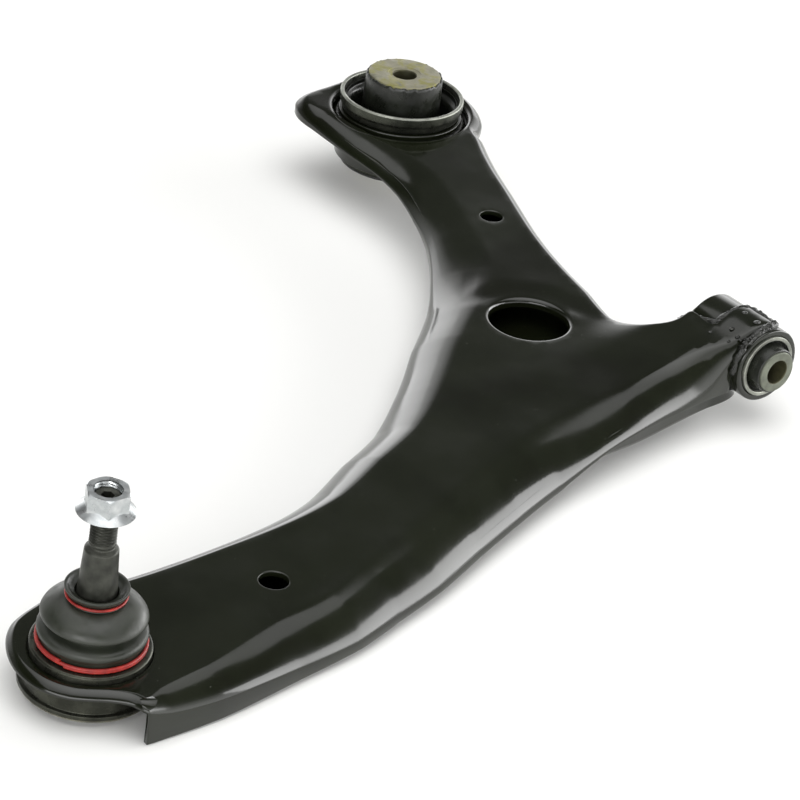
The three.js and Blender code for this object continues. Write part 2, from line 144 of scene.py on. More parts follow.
class ArmColours(bpy.types.PropertyGroup):
    paint: colour_property("Paint", "Stoved black paint of the arm", "#101209")
    boot: colour_property("Boot", "Moulded rubber of the dust boot", "#20231c")
    clamp: colour_property("Clamp rings", "Painted wire of the boot's clamp rings", "#8e1d17")
    zinc: colour_property("Nut", "Clear zinc plate of the nut", "#c6c9c9")
    yellow_zinc: colour_property("Rear core", "Yellow chromated zinc of the rear core", "#7a7863")


class StudioSettings(bpy.types.PropertyGroup):
    lens: millimetres("Lens", "Focal length of the camera", 162, 20, 300)
    distance: FloatProperty(
        name="Distance", description="Distance from the camera to its target",
        default=1.7498, min=0.5, max=10, unit="LENGTH",
    )
    horizon: FloatProperty(
        name="Horizon light", description="Brightness of the studio walls near the floor",
        default=2.4, min=0, max=10,
    )
    floor: colour_property("Floor", "Plain pale floor", "#f1f1ef")


# ---------------------------------------------------------------- meshes

def closed_mesh(points, faces):
    """Mesh with merged points and faces that look outwards."""
    mesh = bpy.data.meshes.new("mesh")
    mesh.from_pydata([tuple(p) for p in points], [], faces)
    work = bmesh.new()
    work.from_mesh(mesh)
    bmesh.ops.remove_doubles(work, verts=work.verts, dist=1e-4)
    bmesh.ops.dissolve_degenerate(work, dist=1e-5, edges=work.edges)
    bmesh.ops.delete(work, geom=[v for v in work.verts if not v.link_faces], context="VERTS")
    bmesh.ops.recalc_face_normals(work, faces=work.faces)
    work.to_mesh(mesh)
    work.free()
    return mesh


def add_piece(name, mesh, place, look, sharp=32):
    """Shows a mesh drawn in millimetres as a smooth piece with one finish."""
    mesh.transform(place)
    mesh.shade_smooth()
    mesh.set_sharp_from_angle(angle=math.radians(sharp))
    mesh.materials.clear()
    mesh.materials.append(finish(look))
    made = bpy.data.objects.new(name, mesh)
    bpy.context.scene.collection.objects.link(made)
    return made


def settle(made, body, slot, *nodes):
    """Lets a piece ride on its body in place of CAD nodes."""
    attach(made, body)
    if nodes:
        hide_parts(*nodes)
    return made


def bend(made):
    """Bakes a soft piece's placement into its mesh."""
    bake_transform(made)


def repaint(made, look, place, test):
    """Gives another finish to the faces whose centre, in the piece's millimetres, passes a test."""
    made.data.materials.append(finish(look))
    inverse = place.inverted()
    for face in made.data.polygons:
        if test(inverse @ face.center):
            face.material_index = 1


def rounded(profile, fillet=0.4, steps=4):
    """Closed [radius, height] profile with rounded corners. A third number is a corner's own fillet."""
    out = []
    for i, point in enumerate(profile):
        here = Vector(point[:2])
        before = Vector(profile[i - 1][:2]) - here
        after = Vector(profile[(i + 1) % len(profile)][:2]) - here
        wanted = point[2] if len(point) > 2 else fillet
        reach = min(wanted, before.length * 0.45, after.length * 0.45)
        if here.x < 1e-6 or reach < 1e-3:
            out.append((here.x, here.y))
            continue
        start = here + before.normalized() * reach
        end = here + after.normalized() * reach
        for k in range(steps + 1):
            t = k / steps
            p = start * (1 - t) ** 2 + here * (2 * t * (1 - t)) + end * t ** 2
            out.append((p.x, p.y))
    return out


def turned(profile, segments=96, shape=None):
    """Solid of revolution about +Z. shape(angle, radius, height) may move each point."""
    count = len(profile)
    points = []
    for step in range(segments):
        angle = math.tau * step / segments
        for radius, height in profile:
            if shape:
                radius, height = shape(angle, radius, height)
            points.append((radius * math.cos(angle), radius * math.sin(angle), height))
    faces = []
    for step in range(segments):
        here = step * count
        there = (step + 1) % segments * count
        for i in range(count):
            j = (i + 1) % count
            faces.append((here + i, there + i, there + j, here + j))
    return closed_mesh(points, faces)


def turned_piece(name, rows, segments, place, look, body, slot, *nodes):
    """Adds a lathe-turned piece with rounded corners."""
    made = add_piece(name, turned(rounded(rows), segments), place, look)
    return settle(made, body, slot, *nodes)


def smooth_run(keys, spacing, closed=False):
    """Centripetal Catmull-Rom run through keys; every key is kept, with samples between."""
    keys = [np.array(k, float) for k in keys]
    count = len(keys)
    out = []
    for i in range(count if closed else count - 1):
        if closed:
            quad = [keys[(i + k - 1) % count] for k in range(4)]
        else:
            quad = [keys[max(i - 1, 0)], keys[i], keys[i + 1], keys[min(i + 2, count - 1)]]
        if np.allclose(quad[0], quad[1]):
            quad[0] = 2 * quad[1] - quad[2]
        if np.allclose(quad[3], quad[2]):
            quad[3] = 2 * quad[2] - quad[1]
        knots = [0.0]
        for a, b in zip(quad, quad[1:]):
            knots.append(knots[-1] + max(np.linalg.norm(b - a), 1e-6) ** 0.5)
        steps = max(1, round(np.linalg.norm(quad[2] - quad[1]) / spacing))
        for k in range(steps):
            t = knots[1] + (knots[2] - knots[1]) * k / steps
            row = quad
            for level in (1, 2, 3):
                row = [
                    (row[m] * (knots[m + level] - t) + row[m + 1] * (t - knots[m]))
                    / (knots[m + level] - knots[m])
                    for m in range(len(row) - 1)
                ]
            out.append(row[0])
    if not closed:
        out.append(keys[-1])
    return np.array(out)


def band(start, count):
    """Faces between a ring of points and the ring that follows it in the same list."""
    pairs = [(i, (i + 1) % count) for i in range(count)]
    return [(start + i, start + j, start + count + j, start + count + i) for i, j in pairs]


def swept(path, radius, sides):
    """Tube with closed ends along a path. radius(i, angle) gives its size at each step."""
    path = [Vector(p) for p in path]
    points = []
    side = None
    for i, here in enumerate(path):
        along = (path[min(i + 1, len(path) - 1)] - path[max(i - 1, 0)]).normalized()
        if side is None:
            side = along.orthogonal().normalized()
        side = (side - along * side.dot(along)).normalized()
        up = along.cross(side)
        for k in range(sides):
            angle = math.tau * k / sides
            size = radius(i, angle)
            points.append(here + side * (math.cos(angle) * size) + up * (math.sin(angle) * size))
    last = (len(path) - 1) * sides
    faces = [face for start in range(0, last, sides) for face in band(start, sides)]
    faces.append(tuple(reversed(range(sides))))
    faces.append(tuple(range(last, last + sides)))
    return closed_mesh(points, faces)


# ---------------------------------------------------------------- finishes

def add_node(tree, kind, inputs=None, **settings):
    """Adds one node. Each input takes a plain value or the socket that feeds it."""
    made = tree.nodes.new(kind)
    for name, value in settings.items():
        setattr(made, name, value)
    for name, value in (inputs or {}).items():
        if isinstance(value, bpy.types.NodeSocket):
            tree.links.new(value, made.inputs[name])
        else:
            made.inputs[name].default_value = value
    return made


def per_metre(millimetres):
    """Texture scale of a pattern that repeats about every so many millimetres."""
    return 1000 / millimetres


def new_finish(name, roughness, metallic=0.0, ior=None):
    """Material with its shader's even values set. Returns the material, its tree and its shader."""
    made = bpy.data.materials.new(name)
    made.use_nodes = True
    tree = made.node_tree
    shader = tree.nodes["Principled BSDF"]
    shader.inputs["Roughness"].default_value = roughness
    shader.inputs["Metallic"].default_value = metallic
    if ior:
        shader.inputs["IOR"].default_value = ior
    return made, tree, shader


def clouds(tree, size, detail, **more):
    """Soft noise whose features are about a size in millimetres."""
    where = add_node(tree, "ShaderNodeTexCoord").outputs["Object"]
    inputs = {"Vector": where, "Scale": per_metre(size), "Detail": detail, **more}
    return add_node(tree, "ShaderNodeTexNoise", inputs).outputs["Fac"]


def patches(tree, shades, size, low=0.4, high=0.6, detail=4.0, warp=0.0):
    """Colour that wanders between shades in patches of a size in millimetres."""
    noisy = clouds(tree, size, detail, Distortion=warp)
    ramp = add_node(tree, "ShaderNodeValToRGB", {"Fac": noisy})
    stops = ramp.color_ramp.elements
    for _ in shades[2:]:
        stops.new(0.5)
    for i, (stop, shade) in enumerate(zip(stops, shades)):
        colour = linear(shade) if isinstance(shade, str) else shade
        stop.position = low + (high - low) * i / (len(shades) - 1)
        stop.color = (*colour, 1)
    return ramp.outputs["Color"]


def level(tree, low, high, size, start=0.35, end=0.65, detail=3.0):
    """Number that wanders between two values in patches of a size in millimetres."""
    noisy = clouds(tree, size, detail)
    inputs = {"Value": noisy, "From Min": start, "From Max": end, "To Min": low, "To Max": high}
    return add_node(tree, "ShaderNodeMapRange", inputs).outputs["Result"]


def relief(tree, shader, layers):
    """Stacks bumps on a shader. Each layer is (height socket, depth in millimetres, strength)."""
    normal = None
    for height, depth, strength in layers:
        inputs = {"Height": height, "Distance": depth * MM, "Strength": strength}
        if normal:
            inputs["Normal"] = normal
        normal = add_node(tree, "ShaderNodeBump", inputs).outputs["Normal"]
    tree.links.new(normal, shader.inputs["Normal"])


def specks(tree, base, spot, size, start):
    """Small spots of one colour where noise passes start. Returns the colour and the spots' mask."""
    cells = clouds(tree, size, 1.0, Roughness=0.4)
    inputs = {"Value": cells, "From Min": start, "From Max": start + 0.04}
    mask = add_node(tree, "ShaderNodeMapRange", inputs).outputs["Result"]
    mix = add_node(tree, "ShaderNodeMix", {0: mask, 6: base}, data_type="RGBA")
    mix.inputs[7].default_value = (*linear(spot), 1)
    return mix.outputs[2], mask


def mottled(name, shades, patch, roughness, grain, bump, gloss=None, metallic=0.0, ior=None):
    """Finish with patchy colour and one fine relief.

    patch and grain go to the colour's and the relief's noise: millimetres, then where it starts and ends.
    bump is the relief's depth in millimetres and strength. gloss is the lowest and highest roughness where
    that is patchy too, and the size of its patches in millimetres.
    """
    made, tree, shader = new_finish(name, roughness, metallic, ior)
    tree.links.new(patches(tree, shades, *patch), shader.inputs["Base Color"])
    if gloss:
        tree.links.new(level(tree, *gloss), shader.inputs["Roughness"])
    relief(tree, shader, [(level(tree, 0, 1, *grain), *bump)])
    return made


def stoved_paint(colours):
    """Black stoving enamel, dipped: deep gloss, faint orange peel, a rare speck of dust."""
    made, tree, shader = new_finish("stoved_black_enamel", 0.11, ior=1.52)
    base = patches(tree, [colours.paint, "#13160c", "#171a10"], 60)
    colour, dust = specks(tree, base, "#55584c", 0.9, 0.81)
    tree.links.new(colour, shader.inputs["Base Color"])
    tree.links.new(level(tree, 0.08, 0.17, 34), shader.inputs["Roughness"])
    orange_peel = level(tree, 0, 1, 3.2, 0.3, 0.7, 1.0)
    flow = level(tree, 0, 1, 26, 0.2, 0.8, 1.0)
    relief(tree, shader, [(orange_peel, 0.012, 0.3), (flow, 0.25, 0.16), (dust, 0.06, 0.4)])
    return made


def painted_weld():
    """Weld bead under the same enamel: glossy paint over a rippled bead, thin on its crests."""
    return mottled(
        "enamelled_weld_bead", ["#0e100a", "#181a12", "#3a3c34"], (2.5, 0.5, 0.8), 0.16,
        grain=(1.1, 0.3, 0.7, 2.0), bump=(0.3, 0.7), ior=1.52,
    )


def turned_steel(name, dark, light, roughness, metallic=0.85):
    """Lathe-turned steel: satin, with fine marks drawn as coarse as they show, and a film of preservative."""
    return mottled(
        name, [dark, light], (9, 0.35, 0.7), roughness, grain=(0.5, 0.3, 0.7), bump=(0.03, 0.5),
        gloss=(roughness - 0.08, roughness + 0.12, 5), metallic=metallic,
    )


def yellow_plate(colours):
    """Zinc plate, yellow chromated on a sawn face: patchy straw and olive, dull, with grey rubs."""
    return mottled(
        "yellow_chromated_zinc", ["#605e4d", colours.yellow_zinc, "#7f7c69", "#7d7a3f", "#6b695d"],
        (10, 0.3, 0.7, 5.0, 0.4), 0.5, grain=(1.6, 0.3, 0.7), bump=(0.12, 0.6), gloss=(0.4, 0.65, 4),
        metallic=0.3,
    )


def moulded_rubber(name, dark, light, roughness):
    """Moulded rubber: satin black going grey-green where mould release and bloom lie on it."""
    return mottled(
        name, [dark, light], (14, 0.3, 0.75), roughness, grain=(0.7, 0.3, 0.7, 2.0), bump=(0.03, 0.4),
        gloss=(roughness - 0.1, roughness + 0.1, 6), ior=1.5,
    )


def phosphate():
    """Manganese phosphate on turned steel: matt dark grey with a faint brown cast, oiled."""
    return mottled(
        "manganese_phosphated_steel", ["#2b2c27", "#3d3e38", "#4d4e47"], (6, 0.3, 0.75), 0.38,
        grain=(0.5, 0.3, 0.7), bump=(0.03, 0.5), gloss=(0.34, 0.52, 3), metallic=0.55,
    )


def bright_zinc(colours):
    """Clear zinc electroplate on a cold-formed nut: near white and satin, so reflections only glow."""
    return mottled(
        "clear_zinc_plate", [colours.zinc, "#b4b8b9", "#d2d4d4"], (7, 0.3, 0.7), 0.32,
        grain=(1.5, 0.3, 0.7), bump=(0.02, 0.3), gloss=(0.26, 0.38, 4), metallic=1.0,
    )


def painted_wire(colours):
    """Spring wire with baked red paint: even colour, half gloss, scraped where it was expanded."""
    made, tree, shader = new_finish("red_painted_spring_wire", 0.38, ior=1.5)
    base = patches(tree, ["#7d1812", colours.clamp, "#a62a20"], 4, 0.3, 0.65)
    colour, scrape = specks(tree, base, "#7b3a30", 2.0, 0.75)
    tree.links.new(colour, shader.inputs["Base Color"])
    relief(tree, shader, [(level(tree, 0, 1, 1.0), 0.05, 0.4), (scrape, 0.05, 0.4)])
    return made


def ground_steel():
    """Ground and hardened bearing steel: bright, close to a mirror."""
    return mottled(
        "ground_bearing_steel", ["#b2b4b6", "#c3c5c6"], (6,), 0.12, grain=(0.4,), bump=(0.004, 0.4),
        metallic=1.0,
    )


def acetal():
    """Moulded acetal bearing shell: milky white plastic with a waxy sheen."""
    return mottled(
        "moulded_acetal", ["#cfccbe", "#dedbcf"], (12,), 0.4, grain=(0.8,), bump=(0.02, 0.4), ior=1.48,
    )


FINISHES = {}


def finish(look):
    """The finish of that name. All are made at the first call."""
    if not FINISHES:
        colours = bpy.context.scene.arm_colours
        FINISHES.update({
            "paint": stoved_paint(colours),
            "weld": painted_weld(),
            # This brighter steel is also laid on the flared sleeve's rim as a painted highlight.
            "sleeve": turned_steel("bright_turned_steel_and_rim_highlight", "#7b7d76", "#a6a89e", 0.4),
            "dark_sleeve": turned_steel("oiled_drawn_steel_tube", "#33352e", "#4c4e45", 0.3, 0.8),
            "housing": turned_steel("oiled_turned_steel", "#2f3029", "#4a4b42", 0.3, 0.8),
            # This lighter steel is also laid on the housing flange's bottom edge as a painted highlight.
            "cover": turned_steel("pressed_steel_disc_and_edge_highlight", "#6f6d62", "#93917f", 0.45, 0.7),
            "core": turned_steel("sintered_steel_tube", "#5c5f55", "#787c6e", 0.5, 0.6),
            # Darker olive steel for the faces inside the cores' bores.
            "bore": turned_steel("darker_bore_steel", "#3e3d2c", "#56543c", 0.5, 0.5),
            "yellow": yellow_plate(colours),
            "bushing_rubber": moulded_rubber("natural_rubber_bushing", "#0e100b", "#1c1f18", 0.34),
            "boot": moulded_rubber("chloroprene_boot", colours.boot, "#30332b", 0.4),
            "phosphate": phosphate(),
            "zinc": bright_zinc(colours),
            "wire": painted_wire(colours),
            "ball": ground_steel(),
            "acetal": acetal(),
        })
    return FINISHES[look]


# ---------------------------------------------------------------- upper pressing

TOP_AT_REAR = 10.0
TOP_SLOPE = (-0.036, 0.023)
SHALLOW_FLANGE = 9.5
DEEP_FLANGE = 20.0
EYE_FLANGE = 13.0
TAB_FLANGE = 4.0
WRAP_R = 21.9
TUBE_CLEARANCE = 20.1
LIGHTENING_HOLE = (218, -83, 20.5)
DRAIN_HOLES = [(123, -32, 6.2), (350, -339, 7.0)]
REAR_OPENING = (0, 0, 38.0)
BALL_OPENING_R = 27.4
ROLL_POWER = 1.4            # 1 rolls the edge over an ellipse, 2 makes it a flat bevel
ROLL_STEPS = 13
LIP_STEPS = 6
OUTLINE_STEP = 2.2
NECK_FROM_X = 262           # the neck and its tube lie beyond this
NECK_RISE_X, NECK_RISE_Y = (232, 264), (-150, -80)
NECK_BLEND = 2.5
DISH_DEPTH, DISH_REACH = 0.7, (40, 27)
FLANGE_GROWTH = 0.0875      # how much deeper the wall gets for each millimetre along X

# Plan outline, counter-clockwise from the back of the rear end. Each row is x, y, then width and depth of
# the rolled edge there.
REAR_END = [
    (47 * math.cos(math.radians(a)), 47 * math.sin(math.radians(a)), 6, 6) for a in range(34, 197, 18)
]
REAR_CORNER = [(-43.5, -24, 6, 6), (-42.2, -35, 6, 6), (-38.5, -44.8, 6, 6), (-28, -50, 6.5, 6.5)]
CONCAVE_EDGE = [
    (-14, -50.5, 10, 7.5), (20, -50.5, 15, 8.8), (45, -49.5, 18, 9.3), (66, -51, 20, 11), (90, -58, 21, 13),
    (118, -70, 23, 13), (147, -90, 31, 14.5), (172, -112, 27, 16), (198, -142, 25, 16), (216, -161, 24, 16),
    (234, -182, 24, 16), (256, -211, 23, 16), (271, -242, 22, 15.5), (289, -275, 20, 15),
    (300, -308, 16, 13.5), (307, -345, 12, 11), (310, -385, 11, 10), (312, -418, 8, 7), (312.4, -432, 6, 5),
    (312.5, -437.8, 5, 4.5),
]
TAB_EDGE = [
    (312.6, -438.2, 4.5, 4), (315.5, -446, 3.4, 3.4), (321, -459, 3.4, 3.4), (332.6, -469, 3.4, 3.4),
    (350, -475, 3.8, 3.4), (366.5, -473.2, 4.2, 3.4), (378.5, -465.4, 4.4, 3.4), (387.6, -452, 4.5, 3.4),
    (394.5, -444.6, 4.5, 3.4), (400.8, -442.4, 4.5, 3.4), (402.2, -441.2, 4.5, 4),
]
FRONT_EDGE = [
    (402.3, -440.8, 4.5, 4.5), (402.5, -430, 9, 8), (402, -402, 13, 11), (399, -379, 16, 13),
    (395, -354, 19, 15), (389, -316, 21, 17), (380, -287, 22, 18), (370, -255, 24, 19),
    (356, -221, 25, 19.3), (342, -185, 25, 19.3), (329, -149, 25, 18.8), (320, -115, 23, 14.6),
    (314, -86, 20, 14.6), (310, -66, 18, 16.4), (307.4, -48, 16, 18.6),
]
NECK_EDGE = [
    (305.8, -33, 12, 18), (305, -22, 6, 9), (305, -5, 1.6, 1.6), (305, 3.2, 1.2, 1.2),
    (303.8, 4.5, 1.2, 1.2), (292, 4.5, 1.2, 1.2), (285.2, 4.5, 1.2, 1.2), (284, 3.3, 1.2, 1.2),
    (284, -8, 1.2, 1.2), (284, -15.6, 1.2, 1.2), (282.6, -17, 1.2, 1.2), (275, -17, 1.2, 1.2),
    (267.4, -17, 1.2, 1.2), (266, -18.4, 1.4, 1.4), (265, -25, 2.5, 2.5), (261, -31, 4, 4),
]
BACK_EDGE = [
    (252, -36, 6, 6), (236, -38, 7, 7), (211, -32, 7, 7), (190, -28, 7, 7), (165, -22, 7, 7),
    (140, -14, 7, 7), (104, 0, 7, 7), (80, 9, 7, 7), (61, 17, 6.5, 6.5), (48, 23, 6, 6),
]
OUTLINE = REAR_END + REAR_CORNER + CONCAVE_EDGE + TAB_EDGE + FRONT_EDGE + NECK_EDGE + BACK_EDGE

# Hollows in the skin: depth, centre, direction in degrees, length and width.
DENTS = [
    (0.9, (362, -320), 112, 22, 8), (0.5, (386, -378), 112, 26, 6), (0.45, (174, -88), 134, 15, 3.2),
]

# Section of the neck along Y: it climbs from the plate and wraps over the eye tube.
NECK_RAMP = [(-130, -6), (-105, -3.4), (-80, -1.4), (-55, 2.4), (-35, 8), (-20, 13)] + [
    (WRAP_R * math.cos(math.radians(a)), WRAP_R * math.sin(math.radians(a)) - EYE_DROP)
    for a in range(123, 75, -5)
]
RAMP_LINE = smooth_run(NECK_RAMP, 1.0)


def plate(x, y):
    """Height of the flat top of the pressing."""
    return TOP_AT_REAR + TOP_SLOPE[0] * x + TOP_SLOPE[1] * y


def eased(value, start, end):
    """Smooth step from 0 at start to 1 at end."""
    t = np.clip((value - start) / (end - start), 0, 1)
    return t * t * (3 - 2 * t)


def dent(x, y, centre, direction, length, width):
    """Bell-shaped hollow, 1 deep at its centre, longer along its direction."""
    c, s = math.cos(math.radians(direction)), math.sin(math.radians(direction))
    along = (x - centre[0]) * c + (y - centre[1]) * s
    across = (y - centre[1]) * c - (x - centre[0]) * s
    return np.exp(-((along / length) ** 2) - (across / width) ** 2)


def top_surface(x, y):
    """Height of the pressing's skin away from its edges: plate, neck, dish behind the hole and dents."""
    flat = plate(x, y)
    ramp = np.interp(y, RAMP_LINE[:, 0], RAMP_LINE[:, 1])
    risen = 0.5 * (flat + ramp + np.sqrt((flat - ramp) ** 2 + NECK_BLEND ** 2))
    height = flat + (risen - flat) * eased(x, *NECK_RISE_X) * eased(y, *NECK_RISE_Y)
    from_x, from_y = x - LIGHTENING_HOLE[0], y - LIGHTENING_HOLE[1]
    behind = eased(0.66 * from_y - 0.75 * from_x, 4, 20)
    height = height - DISH_DEPTH * eased(np.hypot(from_x, from_y), *DISH_REACH) * behind
    for depth, *shape in DENTS:
        height = height - depth * dent(x, y, *shape)
    return height


def flange_depth(x, y):
    """How far the pressing's wall reaches below the plate: shallow at the rear, least round the tab."""
    deep = np.clip(SHALLOW_FLANGE + (x - 40) * FLANGE_GROWTH, SHALLOW_FLANGE, DEEP_FLANGE)
    by_eye = DEEP_FLANGE + (EYE_FLANGE - DEEP_FLANGE) * np.clip((y + 150) / 45, 0, 1)
    deep = np.where(x > 290, np.minimum(deep, by_eye), deep)
    deep = np.where((x > 250) & (y > -46), EYE_FLANGE, deep)
    tab = y < -438 - np.clip((x - 380) / 6, 0, 3)
    return np.where(tab, TAB_FLANGE, deep)


def inside(points, loop):
    """Which points lie inside a closed loop."""
    x, y = points[:, 0], points[:, 1]
    odd = np.zeros(len(points), bool)
    for (x0, y0), (x1, y1) in zip(loop, np.roll(loop, -1, axis=0)):
        if y0 == y1:
            continue
        crosses = ((y0 > y) != (y1 > y)) & (x < (x1 - x0) * (y - y0) / (y1 - y0) + x0)
        odd ^= crosses
    return odd


def distance_to(points, loop):
    """Distance from each point to the nearest corner of a finely drawn loop."""
    gaps = points[:, None, :] - loop[None, :, :]
    return np.sqrt((gaps ** 2).sum(2)).min(1)


def inward_normals(loop):
    """Unit normals into a counter-clockwise loop."""
    run = np.roll(loop, -1, axis=0) - np.roll(loop, 1, axis=0)
    run /= np.linalg.norm(run, axis=1)[:, None]
    return np.stack([-run[:, 1], run[:, 0]], axis=1)


def pressed_skin(keys, surface, edge_height, holes, step, side=1):
    """Points and faces of a sheet pressed over a surface: rolled edge, wall and pierced holes.

    holes are (x, y, radius, lip, lip depth). side is 1 for a wall that hangs down, -1 for one that stands up.
    """
    rows = smooth_run(keys, OUTLINE_STEP, closed=True)
    edge = rows[:, :2]
    width, depth = np.maximum(rows[:, 2], 0.3), np.maximum(rows[:, 3], 0.3)
    inward = inward_normals(edge)
    foot = edge_height(edge[:, 0], edge[:, 1])
    shoulder = surface(edge[:, 0], edge[:, 1]) - side * depth
    foot = np.minimum(foot, shoulder - 0.2) if side > 0 else np.maximum(foot, shoulder + 0.2)
    rings = [np.column_stack([edge, foot + (shoulder - foot) * share]) for share in (0, 0.5)]
    for k in range(ROLL_STEPS + 1):
        angle = math.radians(90 * (1 - k / ROLL_STEPS))
        at = edge + inward * (width * (1 - math.sin(angle) ** ROLL_POWER))[:, None]
        height = surface(at[:, 0], at[:, 1]) - side * depth * (1 - math.cos(angle) ** ROLL_POWER)
        rings.append(np.column_stack([at, height]))
    count = len(edge)
    inner_ring = (len(rings) - 1) * count
    points = [p for ring in rings for p in ring]
    faces = [face for start in range(0, inner_ring, count) for face in band(start, count)]

    border = rings[-1][:, :2]
    flat_points = list(border)
    flat_ids = list(range(inner_ring, inner_ring + count))
    edges = [(i, (i + 1) % count) for i in range(count)]
    for x, y, radius, lip, lip_depth in holes:
        sides = max(32, int(radius * 3))
        turn = np.arange(sides) * math.tau / sides
        circle = np.column_stack([np.cos(turn), np.sin(turn)])
        first_flat = len(flat_points)
        edges += [(first_flat + i, first_flat + (i + 1) % sides) for i in range(sides)]
        start = len(points)
        for k in range(LIP_STEPS + 2):
            angle = math.radians(90 * min(k, LIP_STEPS) / LIP_STEPS)
            at = np.array([x, y]) + circle * (radius + lip * (1 - math.sin(angle)))
            sink = lip * (1 - math.cos(angle)) if k <= LIP_STEPS else max(lip_depth, lip + 0.2)
            height = surface(at[:, 0], at[:, 1]) - side * sink
            points += list(np.column_stack([at, height]))
        flat_points += list(np.array([x, y]) + circle * (radius + lip))
        flat_ids += range(start, start + sides)
        for k in range(LIP_STEPS + 1):
            faces += band(start + k * sides, sides)

    low, high = border.min(0), border.max(0)
    across, up = np.meshgrid(np.arange(low[0], high[0], step), np.arange(low[1], high[1], step))
    up[:, ::2] += step / 2
    grid = np.column_stack([across.ravel(), up.ravel()])
    grid = grid[inside(grid, border)]
    grid = grid[distance_to(grid, border) > step * 0.6]
    for x, y, radius, lip, _ in holes:
        grid = grid[np.hypot(grid[:, 0] - x, grid[:, 1] - y) > radius + lip + step * 0.5]
    flat_ids += range(len(points), len(points) + len(grid))
    points += list(np.column_stack([grid, surface(grid[:, 0], grid[:, 1])]))
    flat_points += list(grid)
    result = delaunay_2d_cdt([Vector(p) for p in flat_points], edges, [], 0, 1e-5)
    places, triangles, origins = result[0], result[2], result[3]
    first = [ids[0] if ids else None for ids in origins]
    centres = np.array([sum((places[i] for i in t), Vector((0, 0))) / 3 for t in triangles])
    keep = inside(centres, border)
    for x, y, radius, lip, _ in holes:
        keep &= np.hypot(centres[:, 0] - x, centres[:, 1] - y) > (radius + lip) * 0.998
    for triangle, kept in zip(triangles, keep):
        corners = [first[i] for i in triangle]
        if kept and None not in corners:
            faces.append(tuple(flat_ids[c] for c in corners))
    return points, faces


def add_sheet(name, skin, sizes, looks_up, node, thinning=None):
    """Adds a pressed skin as painted sheet steel: thickness goes inwards and the cut edges are broken.

    thinning(point) may give the share of the thickness at a point, in the arm's millimetres.
    """
    made = add_piece(name, closed_mesh(*skin), ARM_PLACE, "paint", 60)
    if (sum(f.normal.z for f in made.data.polygons) > 0) != looks_up:
        made.data.flip_normals()
    solidify = made.modifiers.new("sheet", "SOLIDIFY")
    solidify.thickness = sizes.sheet * MM
    solidify.offset = -1
    if thinning:
        inverse = ARM_PLACE.inverted()
        group = made.vertex_groups.new(name="thickness")
        for vertex in made.data.vertices:
            group.add([vertex.index], thinning(inverse @ vertex.co), "REPLACE")
        solidify.vertex_group = "thickness"
    bevel = made.modifiers.new("hem", "BEVEL")
    bevel.width = sizes.hem * MM
    bevel.segments = 2
    bevel.limit_method = "ANGLE"
    bevel.angle_limit = math.radians(55)
    graph = bpy.context.evaluated_depsgraph_get()
    mesh = bpy.data.meshes.new_from_object(made.evaluated_get(graph))
    made.modifiers.clear()
    made.data = mesh
    mesh.shade_smooth()
    mesh.set_sharp_from_angle(angle=math.radians(42))
    settle(made, "arm", "arm_paint", node)


def clear_of_tube(x, y):
    """Height of the eye tube's back, with a running gap, and far below elsewhere."""
    over = np.sqrt(np.maximum(TUBE_CLEARANCE ** 2 - y ** 2, 0)) - EYE_DROP
    return np.where((np.abs(y) < TUBE_CLEARANCE) & (x > NECK_FROM_X), over, -100)


class CONTROL_ARM_OT_upper_pressing(bpy.types.Operator):
    """Adds the upper pressing with its rolled edges, holes and neck"""

    bl_idname = "control_arm.upper_pressing"
    bl_label = "Upper Pressing"

    def execute(self, context):
        sizes = context.scene.arm_sizes
        ball = ARM_PLACE.inverted() @ BALL_CENTRE
        holes = [
            (*LIGHTENING_HOLE, 2.6, 4.5),
            (*REAR_OPENING, 3.2, 5.0),
            (ball.x, ball.y, BALL_OPENING_R, 0.8, 2.6),
        ]
        holes += [(*hole, 0.6, 2.6) for hole in DRAIN_HOLES]

        def foot(x, y):
            return np.maximum(plate(x, y) - flange_depth(x, y), clear_of_tube(x, y))

        def thinning(point):
            return 0.68 if point.x > NECK_FROM_X and point.y > -24 else 1.0

        skin = pressed_skin(OUTLINE, top_surface, foot, holes, sizes.mesh_step)
        add_sheet("upper_pressing", skin, sizes, True, "upper_shell", thinning)
        return {"FINISHED"}


# ---------------------------------------------------------------- lower pressing and welds

LOWER_INSET = 3.4
LOWER_ROLL = 5
LOWER_DROP, LOWER_DEEPENING = 10.5, 8.0
BELLY_Z, BELLY_SLOPE = -25, 0.07
LOWER_OPENING = (0, 0, 35.0, 0.8, 2.4)
TUBE_FIT = 20.3             # the cradle's radius under the eye tube
SEAM_END_Y = -400           # the seam stops here, short of the ball joint
CRADLE = [
    (300, -27, 4, 2.5), (299.5, -14, 4, 2.5), (296, -6, 4, 2.5), (284, -4, 4, 2.5), (273, -8, 4, 2.5),
    (267, -20, 4, 2.5),
]


def inset_runs(inset):
    """Front run and back run of the outline drawn inwards, both cut short of the ball joint and the eye."""
    keys = np.array(OUTLINE)[:, :2]
    inner = keys + inward_normals(keys) * inset
    concave_end = len(REAR_END + REAR_CORNER + CONCAVE_EDGE)
    front_start = concave_end + len(TAB_EDGE)
    front = inner[front_start:front_start + len(FRONT_EDGE)]
    back = np.vstack([inner[-len(BACK_EDGE):], inner[:concave_end]])
    return front[front[:, 1] > SEAM_END_Y], back[back[:, 1] > SEAM_END_Y]


def lower_surface(x, y):
    """Height of the underside of the lower pressing: it follows the plate and bellies out by the eye."""
    flat = plate(x, y) - LOWER_DROP - LOWER_DEEPENING * eased(x, 45, 165)
    belly = np.minimum(BELLY_Z + BELLY_SLOPE * (y + 10), flat)
    return flat + (belly - flat) * eased(y, -150, -60) * eased(x, 215, 275)


